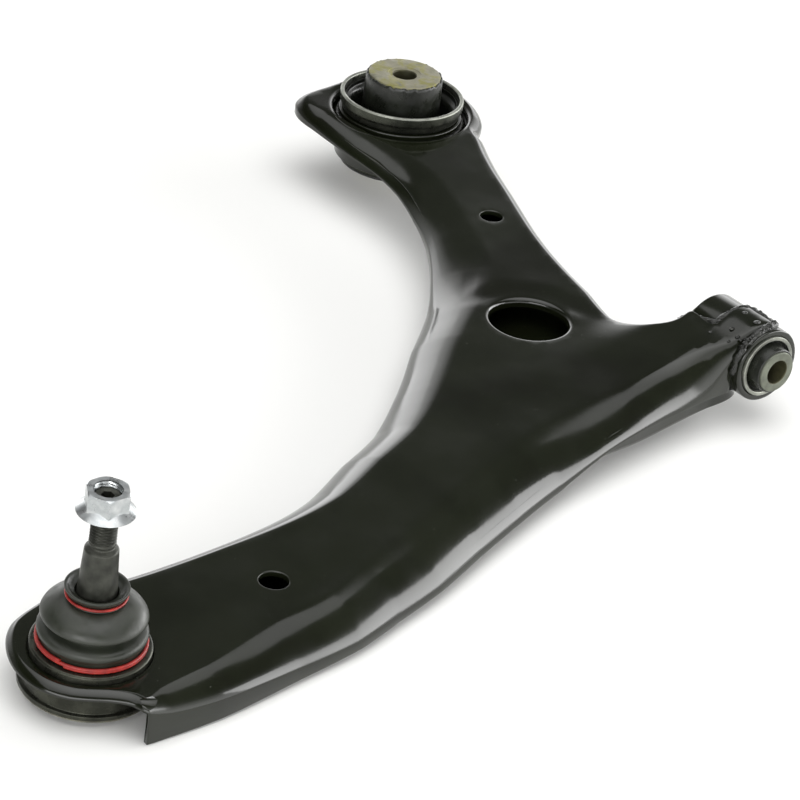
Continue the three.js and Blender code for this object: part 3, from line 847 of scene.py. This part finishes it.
class CONTROL_ARM_OT_lower_pressing(bpy.types.Operator):
    """Adds the lower pressing that closes the arm and cradles the eye tube"""

    bl_idname = "control_arm.lower_pressing"
    bl_label = "Lower Pressing"

    def execute(self, context):
        sizes = context.scene.arm_sizes
        front, back = [[(x, y, LOWER_ROLL, LOWER_ROLL) for x, y in run] for run in inset_runs(LOWER_INSET)]

        def rim(x, y):
            under_flange = plate(x, y) - flange_depth(x, y) + 5
            under_tube = -np.sqrt(np.maximum(TUBE_FIT ** 2 - y ** 2, 0)) - EYE_DROP - 0.4
            return np.where((x > 258) & (y > -TUBE_FIT), np.minimum(under_flange, under_tube), under_flange)

        skin = pressed_skin(
            front + CRADLE + back, lower_surface, rim, [LOWER_OPENING], sizes.mesh_step, side=-1,
        )
        add_sheet("lower_pressing", skin, sizes, False, "lower_shell")
        return {"FINISHED"}


EYE_WELD = [
    (264, -22, 7.0), (268, -17.5, 10.2), (276, -16.0, 11.8), (282, -14.5, 13.2), (283.6, -8, 17.0),
    (284, -1, 18.8), (285, 4.8, 18.4), (292, 6.0, 18.0), (300, 6.0, 18.0), (304.6, 5.0, 18.3),
    (305.8, 0, 18.8), (306, -8, 17.0), (306, -15, 12.2), (306, -19.6, 4.5), (305.4, -20.4, -3),
]
SEAM_INSET = 2.6
TUBE_WELD_STEPS = 72
TUBE_WELD_HEIGHT = 4.6
# Lumps thrown off by the welder on the neck: x, y and radius.
SPATTER = [
    (300.6, -3.7, 1.7), (290.0, -2.5, 1.4), (294.3, -14.1, 1.5), (287.5, -22.0, 1.1), (300.8, -16.1, 1.3),
    (307.7, -16.3, 1.9), (299.6, -20.7, 0.9), (303.9, -16.7, 1.1), (307.3, -12.7, 1.2),
]


def add_bead(name, points, radius, roughness, seed, *nodes):
    """Adds a lumpy weld bead along a run of points."""

    def size(i, angle):
        along = noise.noise(Vector((i * 0.55, seed, 0)))
        around = noise.noise(Vector((i * 0.4, math.cos(angle) * 1.3, seed + math.sin(angle) * 1.3)))
        return radius * (1 + roughness * (along + around))

    made = add_piece(name, swept(smooth_run(points, 1.2), size, 10), ARM_PLACE, "weld", 80)
    return settle(made, "arm", "weld", *nodes)


class CONTROL_ARM_OT_welds(bpy.types.Operator):
    """Adds the weld beads round the eye, along the seam and round the rear tube"""

    bl_idname = "control_arm.welds"
    bl_label = "Weld Beads"

    def execute(self, context):
        add_bead("eye_weld_bead", EYE_WELD, 2.1, 0.45, 3, "eye_weld")

        reach = span("rear_tube")[1].x + 0.6
        ring = []
        for step in range(TUBE_WELD_STEPS + 1):
            angle = math.tau * step / TUBE_WELD_STEPS
            ring.append((reach * math.cos(angle), reach * math.sin(angle), TUBE_WELD_HEIGHT))
        add_bead("tube_weld_bead", ring, 1.3, 0.3, 8, "rear_tube_weld")

        for i, run in enumerate(inset_runs(SEAM_INSET)):
            seam = [(x, y, plate(x, y) - float(flange_depth(x, y)) + 0.2) for x, y in run]
            made = add_bead(f"seam_weld_bead_{i + 1}", seam, 1.3, 0.25, 20 + i)
        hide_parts("seam_weld")

        work = bmesh.new()
        for x, y, radius in SPATTER:
            place = Matrix.Translation((x, y, float(top_surface(x, y))))
            squashed = place @ Matrix.Diagonal((1, 1.3, 0.45, 1))
            bmesh.ops.create_icosphere(work, subdivisions=2, radius=radius, matrix=squashed)
        lumps = bpy.data.meshes.new("spatter")
        work.to_mesh(lumps)
        work.free()
        settle(add_piece("weld_spatter", lumps, ARM_PLACE, "weld", 80), "arm", "weld")
        return {"FINISHED"}


# ---------------------------------------------------------------- bushings

def bored(radius):
    """Test for the faces inside a bore of that radius."""
    return lambda point: math.hypot(point.x, point.y) < radius


class CONTROL_ARM_OT_front_bushing(bpy.types.Operator):
    """Adds the front eye tube with its sleeve, rubber and core"""

    bl_idname = "control_arm.front_bushing"
    bl_label = "Front Bushing"

    def execute(self, context):
        tube_low, tube_high = span("front_eye_tube")
        low, high = span("front_bushing_sleeve")
        core_low, core_high = span("front_bushing_core")
        tube_r = (tube_high.y - tube_low.y) / 2
        sleeve_r = (high.y - low.y) / 2
        core_r = (core_high.y - core_low.y) / 2
        tube_bore, sleeve_bore, hole = 16.8, 14.4, 6.4
        turned_piece("eye_tube", [
            (tube_bore, tube_low.x, 0.6), (tube_r, tube_low.x, 0.8), (tube_r, tube_high.x, 1.2),
            (tube_bore, tube_high.x, 0.6),
        ], 96, EYE_PLACE, "paint", "arm", "arm_paint", "front_eye_tube")
        turned_piece("eye_sleeve", [
            (sleeve_bore, low.x, 0.3), (sleeve_r, low.x, 0.4), (sleeve_r, high.x, 0.4),
            (sleeve_bore, high.x, 0.6),
        ], 96, EYE_PLACE, "sleeve", "arm", "satin_steel", "front_bushing_sleeve")
        turned_piece("eye_rubber", [
            (core_r + 0.2, core_low.x + 1.0, 0.3), (core_r + 0.9, core_low.x + 1.4, 0.3),
            (core_r + 1.3, low.x - 0.2, 1.2), (13.2, low.x + 2.6, 1.0), (14.2, low.x + 1, 0.4),
            (14.2, high.x - 1, 0.4), (13.2, high.x - 2.6, 1.0), (core_r + 1.3, high.x + 0.2, 1.2),
            (core_r + 0.9, core_high.x - 1.4, 0.3), (core_r + 0.2, core_high.x - 1.0, 0.3),
        ], 96, EYE_PLACE, "bushing_rubber", "arm", "rubber", "front_bushing_rubber")
        made = turned_piece("eye_core", [
            (hole, core_low.x, 0.5), (core_r, core_low.x, 0.7), (core_r, core_high.x, 0.7),
            (hole, core_high.x, 0.6),
        ], 96, EYE_PLACE, "core", "front_core", "satin_steel", "front_bushing_core")
        # Faces inside the bore are coloured darker olive.
        repaint(made, "bore", EYE_PLACE, bored(hole + 0.35))
        return {"FINISHED"}


class CONTROL_ARM_OT_rear_bushing(bpy.types.Operator):
    """Adds the rear housing tube with its flared sleeve, rubber and core"""

    bl_idname = "control_arm.rear_bushing"
    bl_label = "Rear Bushing"

    def execute(self, context):
        low, high = span("rear_tube")
        turned_piece("bushing_tube", [
            (32, low.z, 0.5), (high.x, low.z, 0.8), (high.x, high.z, 0.8), (32, high.z, 0.5),
        ], 128, ARM_PLACE, "paint", "arm", "arm_paint", "rear_tube")

        low, high = span("rear_bushing_sleeve")
        rim, top = high.x, high.z
        made = turned_piece("flared_sleeve", [
            (29.6, low.z, 0.3), (31.7, low.z, 0.5), (31.7, 8.6, 0.6), (rim - 1.6, 9.6, 1.0),
            (rim - 1.4, 12.6, 0.6), (rim - 0.1, 13.6, 0.6), (rim, top - 0.6, 0.6), (rim - 0.7, top, 0.5),
            (rim - 2.2, top - 0.2, 0.6), (rim - 3.0, 15.5, 1.0), (32.4, 12.6, 1.0), (31.8, 11.5, 0.8),
            (29.6, 9.4, 0.8),
        ], 160, ARM_PLACE, "dark_sleeve", "arm", "satin_steel", "rear_bushing_sleeve")
        # The rim's top faces take the brighter turned steel as a painted highlight along the rim.
        repaint(made, "sleeve", ARM_PLACE, lambda point: point.z > top - 1.0)
        turned_piece("sleeve_lining", [
            (28.4, -22.4, 0.4), (31.2, -22.4, 0.8), (31.2, -20.8, 0.3), (29.2, -20.8, 0.3),
            (29.2, 9.2, 0.3), (31.5, 11.4, 0.5), (32.2, 12.8, 0.5), (rim - 3.1, 15.6, 0.3),
            (rim - 3.9, 15.8, 0.4), (31.6, 13.0, 0.8), (29.4, 11.2, 1.0), (28.5, 8.6, 0.8),
        ], 180, ARM_PLACE, "bushing_rubber", "arm", "rubber", "rear_bushing_rubber")

        web = turned(rounded([
            (28.9, -9.0, 0.3), (28.9, -3.0, 0.3), (25.6, 1.6, 0.8), (22.5, 4.6, 0.3), (22.5, 0.6, 0.3),
            (25.2, -3.6, 0.8),
        ]), 180)
        made = add_piece("rubber_web", web, ARM_PLACE, "bushing_rubber")
        bend(made)

        core_low, core_high = span("rear_bushing_core")
        core_r, core_top = core_high.x, core_high.z
        coat = core_r + 0.3

        def ragged(angle, radius, height):
            if height > core_top - 3:
                flash = noise.noise(Vector((math.cos(angle) * 9, math.sin(angle) * 9, 3)))
                height = min(height + flash * 1.3, core_top - 0.2)
            return radius, height

        skin = turned(rounded([
            (coat, -20, 0.2), (22.6, -19, 0.8), (22.8, 6.0, 0.8), (22.2, 9.0, 0.8), (21.8, 14, 1.0),
            (21.6, core_top - 2.0, 0.5), (21.2, core_top - 0.8, 0.4), (coat, core_top - 0.6, 0.2),
        ]), 180, ragged)
        settle(add_piece("core_coat", skin, ARM_PLACE, "bushing_rubber"), "rear_core", "rubber")
        made = turned_piece("rear_core_piece", [
            (6.5, core_low.z, 0.5), (core_r, core_low.z, 0.6), (core_r, core_top, 0.7),
            (9.4, core_top, 0.3), (9.0, core_top - 0.5, 0.3), (7.2, core_top - 0.6, 0.3),
            (6.5, core_top - 1.4, 0.3),
        ], 128, ARM_PLACE, "yellow", "rear_core", "yellow_zinc", "rear_bushing_core")
        # Faces inside the bore are coloured darker olive.
        repaint(made, "bore", ARM_PLACE, bored(6.9))
        return {"FINISHED"}


# ---------------------------------------------------------------- ball joint

RING_START_DEG = 298
RING_TURNS = 1.985
RING_STEPS = 240
RING_R, RING_Z, RING_PITCH = 24.0, 4.95, 0.85
RING_WIRE_R = 0.85
UPPER_RING_R, UPPER_RING_Z = 13.25, 29.3
UPPER_RING_WIDTH, UPPER_RING_HEIGHT = 0.65, 0.62
THREAD_R = 6.0
SIXTH = math.radians(60)


class CONTROL_ARM_OT_ball_housing(bpy.types.Operator):
    """Adds the turned housing of the ball joint and its rolled-in cover"""

    bl_idname = "control_arm.ball_housing"
    bl_label = "Ball Joint Housing"

    def execute(self, context):
        made = turned_piece("joint_housing", [
            (12.2, 9.4, 0.4), (20.6, 9.4, 0.5), (21.3, 8.6, 0.3), (21.3, 4.4, 0.3), (22.0, 3.9, 0.3),
            (26.2, 3.8, 0.4), (27.0, 3.1, 0.4), (27.0, -4.1, 0.4), (29.2, -4.1, 0.6), (29.2, -13.6, 0.4),
            (30.8, -14.2, 0.3), (30.8, -16.6, 0.6), (30.0, -17.4, 0.4), (22.6, -17.4, 0.8),
            (22.2, -16.1, 0.3), (24.4, -15.9, 0.1), (24.4, -13.6, 0.1), (17.6, -13.6, 0.2),
            (17.6, 1.2, 0.3), (15.9, 6.0, 0.3), (11.8, 8.6, 0.2),
        ], 144, BALL_PLACE, "housing", "arm", "satin_steel", "ball_joint_housing")
        # The flange's bottom outer edge takes the lighter disc steel as a painted highlight.
        repaint(made, "cover", BALL_PLACE, lambda p: p.z < -15.9 and math.hypot(p.x, p.y) > 28)
        turned_piece("joint_cover", [
            (0, -13.9), (24.1, -13.9, 0.1), (24.1, -15.6, 0.2), (17, -15.6, 1.5), (14, -14.7, 1.5),
            (0, -14.7),
        ], 96, BALL_PLACE, "cover", "arm", "satin_steel", "ball_joint_cover")
        return {"FINISHED"}


class CONTROL_ARM_OT_ball_bearing(bpy.types.Operator):
    """Finishes the ball, its plastic liners and the preload spring, which are all out of sight"""

    bl_idname = "control_arm.ball_bearing"
    bl_label = "Ball and Liners"

    def execute(self, context):
        dressed = {
            "ball": "ball", "bearing_upper_liner": "acetal", "bearing_lower_liner": "acetal",
            "preload_spring": "phosphate",
        }
        for node, look in dressed.items():
            slots = frame["nodes"][node].data.materials
            slots.clear()
            slots.append(finish(look))
        return {"FINISHED"}


class CONTROL_ARM_OT_dust_boot(bpy.types.Operator):
    """Adds the folded rubber boot and its lip round the stud"""

    bl_idname = "control_arm.dust_boot"
    bl_label = "Dust Boot"

    def execute(self, context):
        upper = smooth_run([
            (13.0, 27.1), (15.6, 26.3), (19.0, 24.6), (21.8, 22.4), (23.3, 20.2), (23.6, 19.0), (23.1, 18.2),
            (21.4, 17.6), (19.4, 16.8), (18.5, 15.8),
        ], 0.5)
        upper_inside = [
            (17.2, 15.4), (18.2, 17.8), (21.0, 19.4), (20.6, 21.2), (12, 25.2), (9.7, 25.6), (9.7, 27.1),
        ]
        lower = smooth_run([
            (18.5, 15.6), (19.4, 14.7), (21.6, 13.8), (23.6, 12.7), (24.4, 11.3), (24.3, 9.8), (23.4, 8.2),
            (22.9, 6.0), (23.0, 4.3),
        ], 0.5)
        lower_inside = [(21.3, 4.2), (21.3, 9.4), (22.6, 11.4), (18.6, 13.6), (17.2, 15.2)]
        folds = [
            ("boot_upper_fold", upper, upper_inside, "ball", "boot_collar", 16, 27),
            ("boot_lower_fold", lower, lower_inside, "arm", "ball", 6, 15.5),
        ]
        for name, outside, within, near, far, start, end in folds:
            fold = turned([tuple(p) for p in outside] + within, 128)
            made = add_piece(name, fold, BALL_PLACE, "boot")
            bend(made)
        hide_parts("dust_boot")
        turned_piece("boot_collar_lip", [
            (9.35, 27.6, 0.2), (12.9, 27.6, 0.3), (12.2, 28.4, 0.5), (12.2, 30.2, 0.5), (13.4, 30.8, 0.5),
            (14.2, 32.2, 0.5), (14.3, 33.3, 0.3), (13.6, 33.5, 0.3), (12.9, 33.2, 0.4), (11.6, 31.8, 1.0),
            (9.6, 31.0, 0.6), (9.35, 30.4, 0.2),
        ], 96, BALL_PLACE, "boot", "boot_collar", "boot_rubber", "boot_lip")
        return {"FINISHED"}


class CONTROL_ARM_OT_clamp_rings(bpy.types.Operator):
    """Adds the two red wire rings that clamp the boot"""

    bl_idname = "control_arm.clamp_rings"
    bl_label = "Clamp Rings"

    def execute(self, context):
        path = []
        for step in range(RING_STEPS + 1):
            turns = RING_TURNS * step / RING_STEPS
            angle = math.radians(RING_START_DEG) + math.tau * turns
            path.append((RING_R * math.cos(angle), RING_R * math.sin(angle), RING_Z + RING_PITCH * turns))
        coil = swept(path, lambda i, angle: RING_WIRE_R, 12)
        made = add_piece("lower_clamp_ring", coil, BALL_PLACE, "wire")
        settle(made, "arm", "red_spring", "boot_lower_ring")
        section = [
            (
                UPPER_RING_R + UPPER_RING_WIDTH * math.cos(math.tau * k / 12),
                UPPER_RING_Z + UPPER_RING_HEIGHT * math.sin(math.tau * k / 12),
            )
            for k in range(12)
        ]
        made = add_piece("upper_clamp_ring", turned(section, 96), BALL_PLACE, "wire")
        settle(made, "boot_collar", "red_spring", "boot_upper_ring")
        return {"FINISHED"}


def thread_depth(height, angle, pitch, depth):
    """How far a right-hand thread is cut in at a height and angle."""
    turn = (height / pitch - angle / math.tau) % 1
    return depth * abs(2 * turn - 1)


class CONTROL_ARM_OT_stud(bpy.types.Operator):
    """Adds the tapered and threaded ball stud with its hexagon socket"""

    bl_idname = "control_arm.stud"
    bl_label = "Ball Stud"

    def execute(self, context):
        pitch = context.scene.arm_sizes.thread_pitch
        top, ball_r = 80.5, 12.8
        first, last = 56.2, top - 0.9
        sphere = [
            (ball_r * math.cos(math.radians(a)), ball_r * math.sin(math.radians(a)))
            for a in (90, 82, 74, 66, 59)
        ]
        sphere[0] = (0, sphere[0][1])
        shank = rounded(sphere + [
            (6.6, 16.5, 2.0), (9.2, 21.5, 1.2), (9.2, 24, 0.3), (7.55, 52.6, 0.5), (7.0, 53.3, 0.4),
            (5.4, 54.2, 0.6), (5.4, 55.2, 0.6), (5.9, 56.0, 0.2),
        ], 0.1)
        rings = int((last - first) / pitch * 10)
        threads = [(THREAD_R, first + (last - first) * i / rings) for i in range(rings + 1)]
        end = [(5.2, top), (3.5, top), (3.0, top - 0.5), (2.9, top - 4.6), (0, top - 5.4)]
        slack = 1e-6

        def cut(angle, radius, height):
            if first - slack <= height <= last + slack and radius > 5.5:
                fade = min(1.0, (height - first) / pitch, (last - height) / pitch)
                radius -= thread_depth(height, angle, pitch, 0.85) * max(fade, 0)
            if height > top - 5 and radius < 3.2:
                radius *= math.cos(SIXTH / 2) / math.cos(angle % SIXTH - SIXTH / 2)
            return radius, height

        stud = turned(shank + threads + end, 72, cut)
        made = add_piece("taper_stud", stud, BALL_PLACE, "phosphate", 40)
        settle(made, "stud", "phosphate_steel", "ball_stud")
        return {"FINISHED"}


class CONTROL_ARM_OT_nut(bpy.types.Operator):
    """Adds the hexagon nut with its conical flange"""

    bl_idname = "control_arm.nut"
    bl_label = "Flange Nut"

    def execute(self, context):
        bottom, top = 71.0, 83.0
        flats, flange = 9.0, 13.3
        corner = flats / math.cos(SIXTH / 2)
        pitch = context.scene.arm_sizes.thread_pitch
        bore, thread = 6.05, 0.55
        turned_by = math.radians(-28)
        chamfer = 0.7
        outside = corner + 1        # rows this far out are brought in to the hexagon
        on_skirt = -1.0             # rows at this height are laid on the flange's top
        skirt_in, skirt_out = corner + 0.3, flange - 0.2

        def skirt(radius):
            """Height of the flange's dished top."""
            return bottom + 1.25 + 3.2 * ((flange - radius) / (flange - flats)) ** 1.5

        wall_from = skirt(flats) + 0.2
        rows = [(bore, top - 0.6), (bore + 0.45, top), (flats - 0.3, top)]
        rows += [(outside, top - chamfer * k / 4) for k in range(5)]
        rows += [(outside, top - chamfer + (wall_from - top + chamfer) * k / 6) for k in range(1, 6)]
        rows += [(outside, wall_from)]
        rows += [(r, on_skirt) for r in np.linspace(skirt_in, skirt_out, 9)]
        rows += [(flange, bottom + 1.0), (flange, bottom + 0.5)]
        rows += [(flange - 0.4, bottom + 0.05), (flange - 0.8, bottom)]
        rows += [(bore + 0.9, bottom), (bore, bottom + 1.0)]
        turns = int((top - bottom - 2) / pitch * 8)
        rows += [(bore, bottom + 1.0 + (top - bottom - 2.0) * k / turns) for k in range(1, turns)]

        def form(angle, radius, height):
            sector = (angle - turned_by) % SIXTH - SIXTH / 2
            hexagon = min(flats / math.cos(sector), corner - 0.12)
            if radius > corner + 0.9 and height > 0:
                cone = flats + 0.25 + (top - height) * 1.73
                radius = min(hexagon, cone)
                height = max(height, skirt(radius) if height <= wall_from + 0.01 else height)
            elif height < 0:
                start = hexagon + 0.15
                radius = start + (skirt_out - start) * (radius - skirt_in) / (skirt_out - skirt_in)
                height = skirt(radius)
            elif radius < bore + 0.1:
                radius += thread - thread_depth(height, angle, pitch, thread)
            return radius, height

        nut = turned(rows, 144, form)
        made = add_piece("hexagon_flange_nut", nut, BALL_PLACE, "zinc", 26)
        settle(made, "nut", "bright_zinc", "flange_nut")
        return {"FINISHED"}


# ---------------------------------------------------------------- stage

VIEW_AZIMUTH = 48.69
VIEW_ELEVATION = 28.56
VIEW_ROLL = 7.64
VIEW_TARGET = Vector((256.9, -197.0, 0.0))
SENSOR = 36
FLOOR_R = 6
FLOOR_SIDES = 64
FLOOR_GAP = 0.0005

# Brightness of the studio from the horizon (0) up to straight overhead (1).
GLOW = [
    (0.0, 1.0), (0.22, 0.9), (0.36, 0.5), (0.41, 0.3), (0.46, 0.09), (0.54, 0.05), (0.82, 0.05), (1.0, 0.6),
]
# The studio's walls are dim in this direction.
DIM_SIDE = (-0.62, -0.78, 0)
DIM_SHARE = 0.12

# Area lights aimed at the middle of the arm: name, place from there and size in metres, power in watts.
LIGHTS = [
    ("overhead", (0.1, -0.1, 1.8), (3.0, 3.0), 34),
    ("left_card", (-1.5, 0.7, 0.25), (1.4, 0.5), 1.5),
    ("right_card", (0.6, 1.5, 0.35), (1.8, 0.6), 16),
    ("front_card", (0.9, -1.4, 0.6), (1.6, 0.5), 9),
]


def add_light(name, offset, size, power):
    """Adds a soft light aimed at the middle of the arm, which the camera doesn't see."""
    target = (CAD_LOW + CAD_HIGH) / 2
    place = target + Vector(offset)
    data = bpy.data.lights.new(name, "AREA")
    data.shape = "RECTANGLE"
    data.size, data.size_y = size
    data.energy = power
    light = bpy.data.objects.new(name, data)
    light.location = place
    light.rotation_mode = "QUATERNION"
    light.rotation_quaternion = (target - place).to_track_quat("-Z", "Y")
    light.visible_camera = False
    bpy.context.scene.collection.objects.link(light)


def add_camera(scene):
    """Adds the camera, aimed along the studio's own azimuth and elevation."""
    azimuth, elevation = math.radians(VIEW_AZIMUTH), math.radians(VIEW_ELEVATION)
    back = Vector((
        math.sin(azimuth) * math.cos(elevation),
        -math.cos(azimuth) * math.cos(elevation),
        math.sin(elevation),
    ))
    camera = bpy.data.objects.new("camera", bpy.data.cameras.new("camera"))
    camera.data.lens = scene.arm_studio.lens
    camera.data.sensor_width = SENSOR
    camera.data.clip_end = 50
    camera.location = ARM_PLACE @ VIEW_TARGET + back * scene.arm_studio.distance
    camera.rotation_mode = "QUATERNION"
    roll = Quaternion((0, 0, 1), math.radians(VIEW_ROLL))
    camera.rotation_quaternion = (-back).to_track_quat("-Z", "Y") @ roll
    scene.collection.objects.link(camera)
    scene.camera = camera


def add_floor(scene):
    """Adds the pale floor: matt seamless paper, so it takes soft shadows and shows no reflections."""
    angles = [math.tau * k / FLOOR_SIDES for k in range(FLOOR_SIDES)]
    mesh = bpy.data.meshes.new("floor")
    mesh.from_pydata(
        [(FLOOR_R * math.cos(a), FLOOR_R * math.sin(a), 0) for a in angles], [], [tuple(range(FLOOR_SIDES))],
    )
    floor = bpy.data.objects.new("floor", mesh)
    floor.location.z = CAD_LOW.z - FLOOR_GAP
    scene.collection.objects.link(floor)
    paper, _, shader = new_finish("matt_paper_floor", 0.9)
    shader.inputs["Base Color"].default_value = (*scene.arm_studio.floor, 1)
    shader.inputs["Specular IOR Level"].default_value = 0.1
    mesh.materials.append(paper)


def add_walls(scene):
    """Lights the scene from studio walls that are bright near the floor and dim on one side."""
    scene.world = bpy.data.worlds.new("studio")
    scene.world.use_nodes = True
    tree = scene.world.node_tree
    direction = add_node(tree, "ShaderNodeTexCoord").outputs["Generated"]
    height = add_node(tree, "ShaderNodeSeparateXYZ", {"Vector": direction}).outputs["Z"]
    ramp = add_node(tree, "ShaderNodeValToRGB", {"Fac": height})
    stops = ramp.color_ramp.elements
    for _ in GLOW[2:]:
        stops.new(0.5)
    for stop, (position, value) in zip(stops, GLOW):
        stop.position = position
        stop.color = (value, value, value, 1)
    background = tree.nodes["Background"]
    tree.links.new(ramp.outputs["Color"], background.inputs["Color"])
    toward = add_node(
        tree, "ShaderNodeVectorMath", {0: direction, 1: DIM_SIDE}, operation="DOT_PRODUCT",
    ).outputs["Value"]
    bright = scene.arm_studio.horizon
    inputs = {
        "Value": toward, "From Min": 0.45, "From Max": 0.85, "To Min": bright, "To Max": bright * DIM_SHARE,
    }
    shaded = add_node(tree, "ShaderNodeMapRange", inputs).outputs["Result"]
    tree.links.new(shaded, background.inputs["Strength"])


class CONTROL_ARM_OT_stage(bpy.types.Operator):
    """Adds the pale floor, the soft studio light and the camera"""

    bl_idname = "control_arm.stage"
    bl_label = "Studio Stage"

    def execute(self, context):
        scene = context.scene
        scene.view_settings.view_transform = "Standard"
        add_camera(scene)
        add_floor(scene)
        add_walls(scene)
        for light in LIGHTS:
            add_light(*light)
        return {"FINISHED"}


# ---------------------------------------------------------------- panel and registration

PIECES = (
    CONTROL_ARM_OT_upper_pressing,
    CONTROL_ARM_OT_lower_pressing,
    CONTROL_ARM_OT_welds,
    CONTROL_ARM_OT_front_bushing,
    CONTROL_ARM_OT_rear_bushing,
    CONTROL_ARM_OT_ball_housing,
    CONTROL_ARM_OT_ball_bearing,
    CONTROL_ARM_OT_dust_boot,
    CONTROL_ARM_OT_clamp_rings,
    CONTROL_ARM_OT_stud,
    CONTROL_ARM_OT_nut,
    CONTROL_ARM_OT_stage,
)


class CONTROL_ARM_PT_panel(bpy.types.Panel):
    """Lists the pieces of the control arm"""

    bl_idname = "CONTROL_ARM_PT_panel"
    bl_label = "Control Arm"
    bl_space_type = "VIEW_3D"
    bl_region_type = "UI"
    bl_category = "Control Arm"

    def draw(self, context):
        layout = self.layout
        for group in (context.scene.arm_sizes, context.scene.arm_colours, context.scene.arm_studio):
            box = layout.box()
            for name in group.__annotations__:
                box.prop(group, name)
        for operator in PIECES:
            layout.operator(operator.bl_idname)


CLASSES = (ArmSizes, ArmColours, StudioSettings, *PIECES, CONTROL_ARM_PT_panel)


def register():
    for made in CLASSES:
        bpy.utils.register_class(made)
    bpy.types.Scene.arm_sizes = PointerProperty(type=ArmSizes)
    bpy.types.Scene.arm_colours = PointerProperty(type=ArmColours)
    bpy.types.Scene.arm_studio = PointerProperty(type=StudioSettings)


def unregister():
    del bpy.types.Scene.arm_studio
    del bpy.types.Scene.arm_colours
    del bpy.types.Scene.arm_sizes
    for made in reversed(CLASSES):
        bpy.utils.unregister_class(made)


def main():
    register()
    for operator in PIECES:
        group, name = operator.bl_idname.split(".")
        getattr(getattr(bpy.ops, group), name)()


if __name__ == "__main__":
    main()
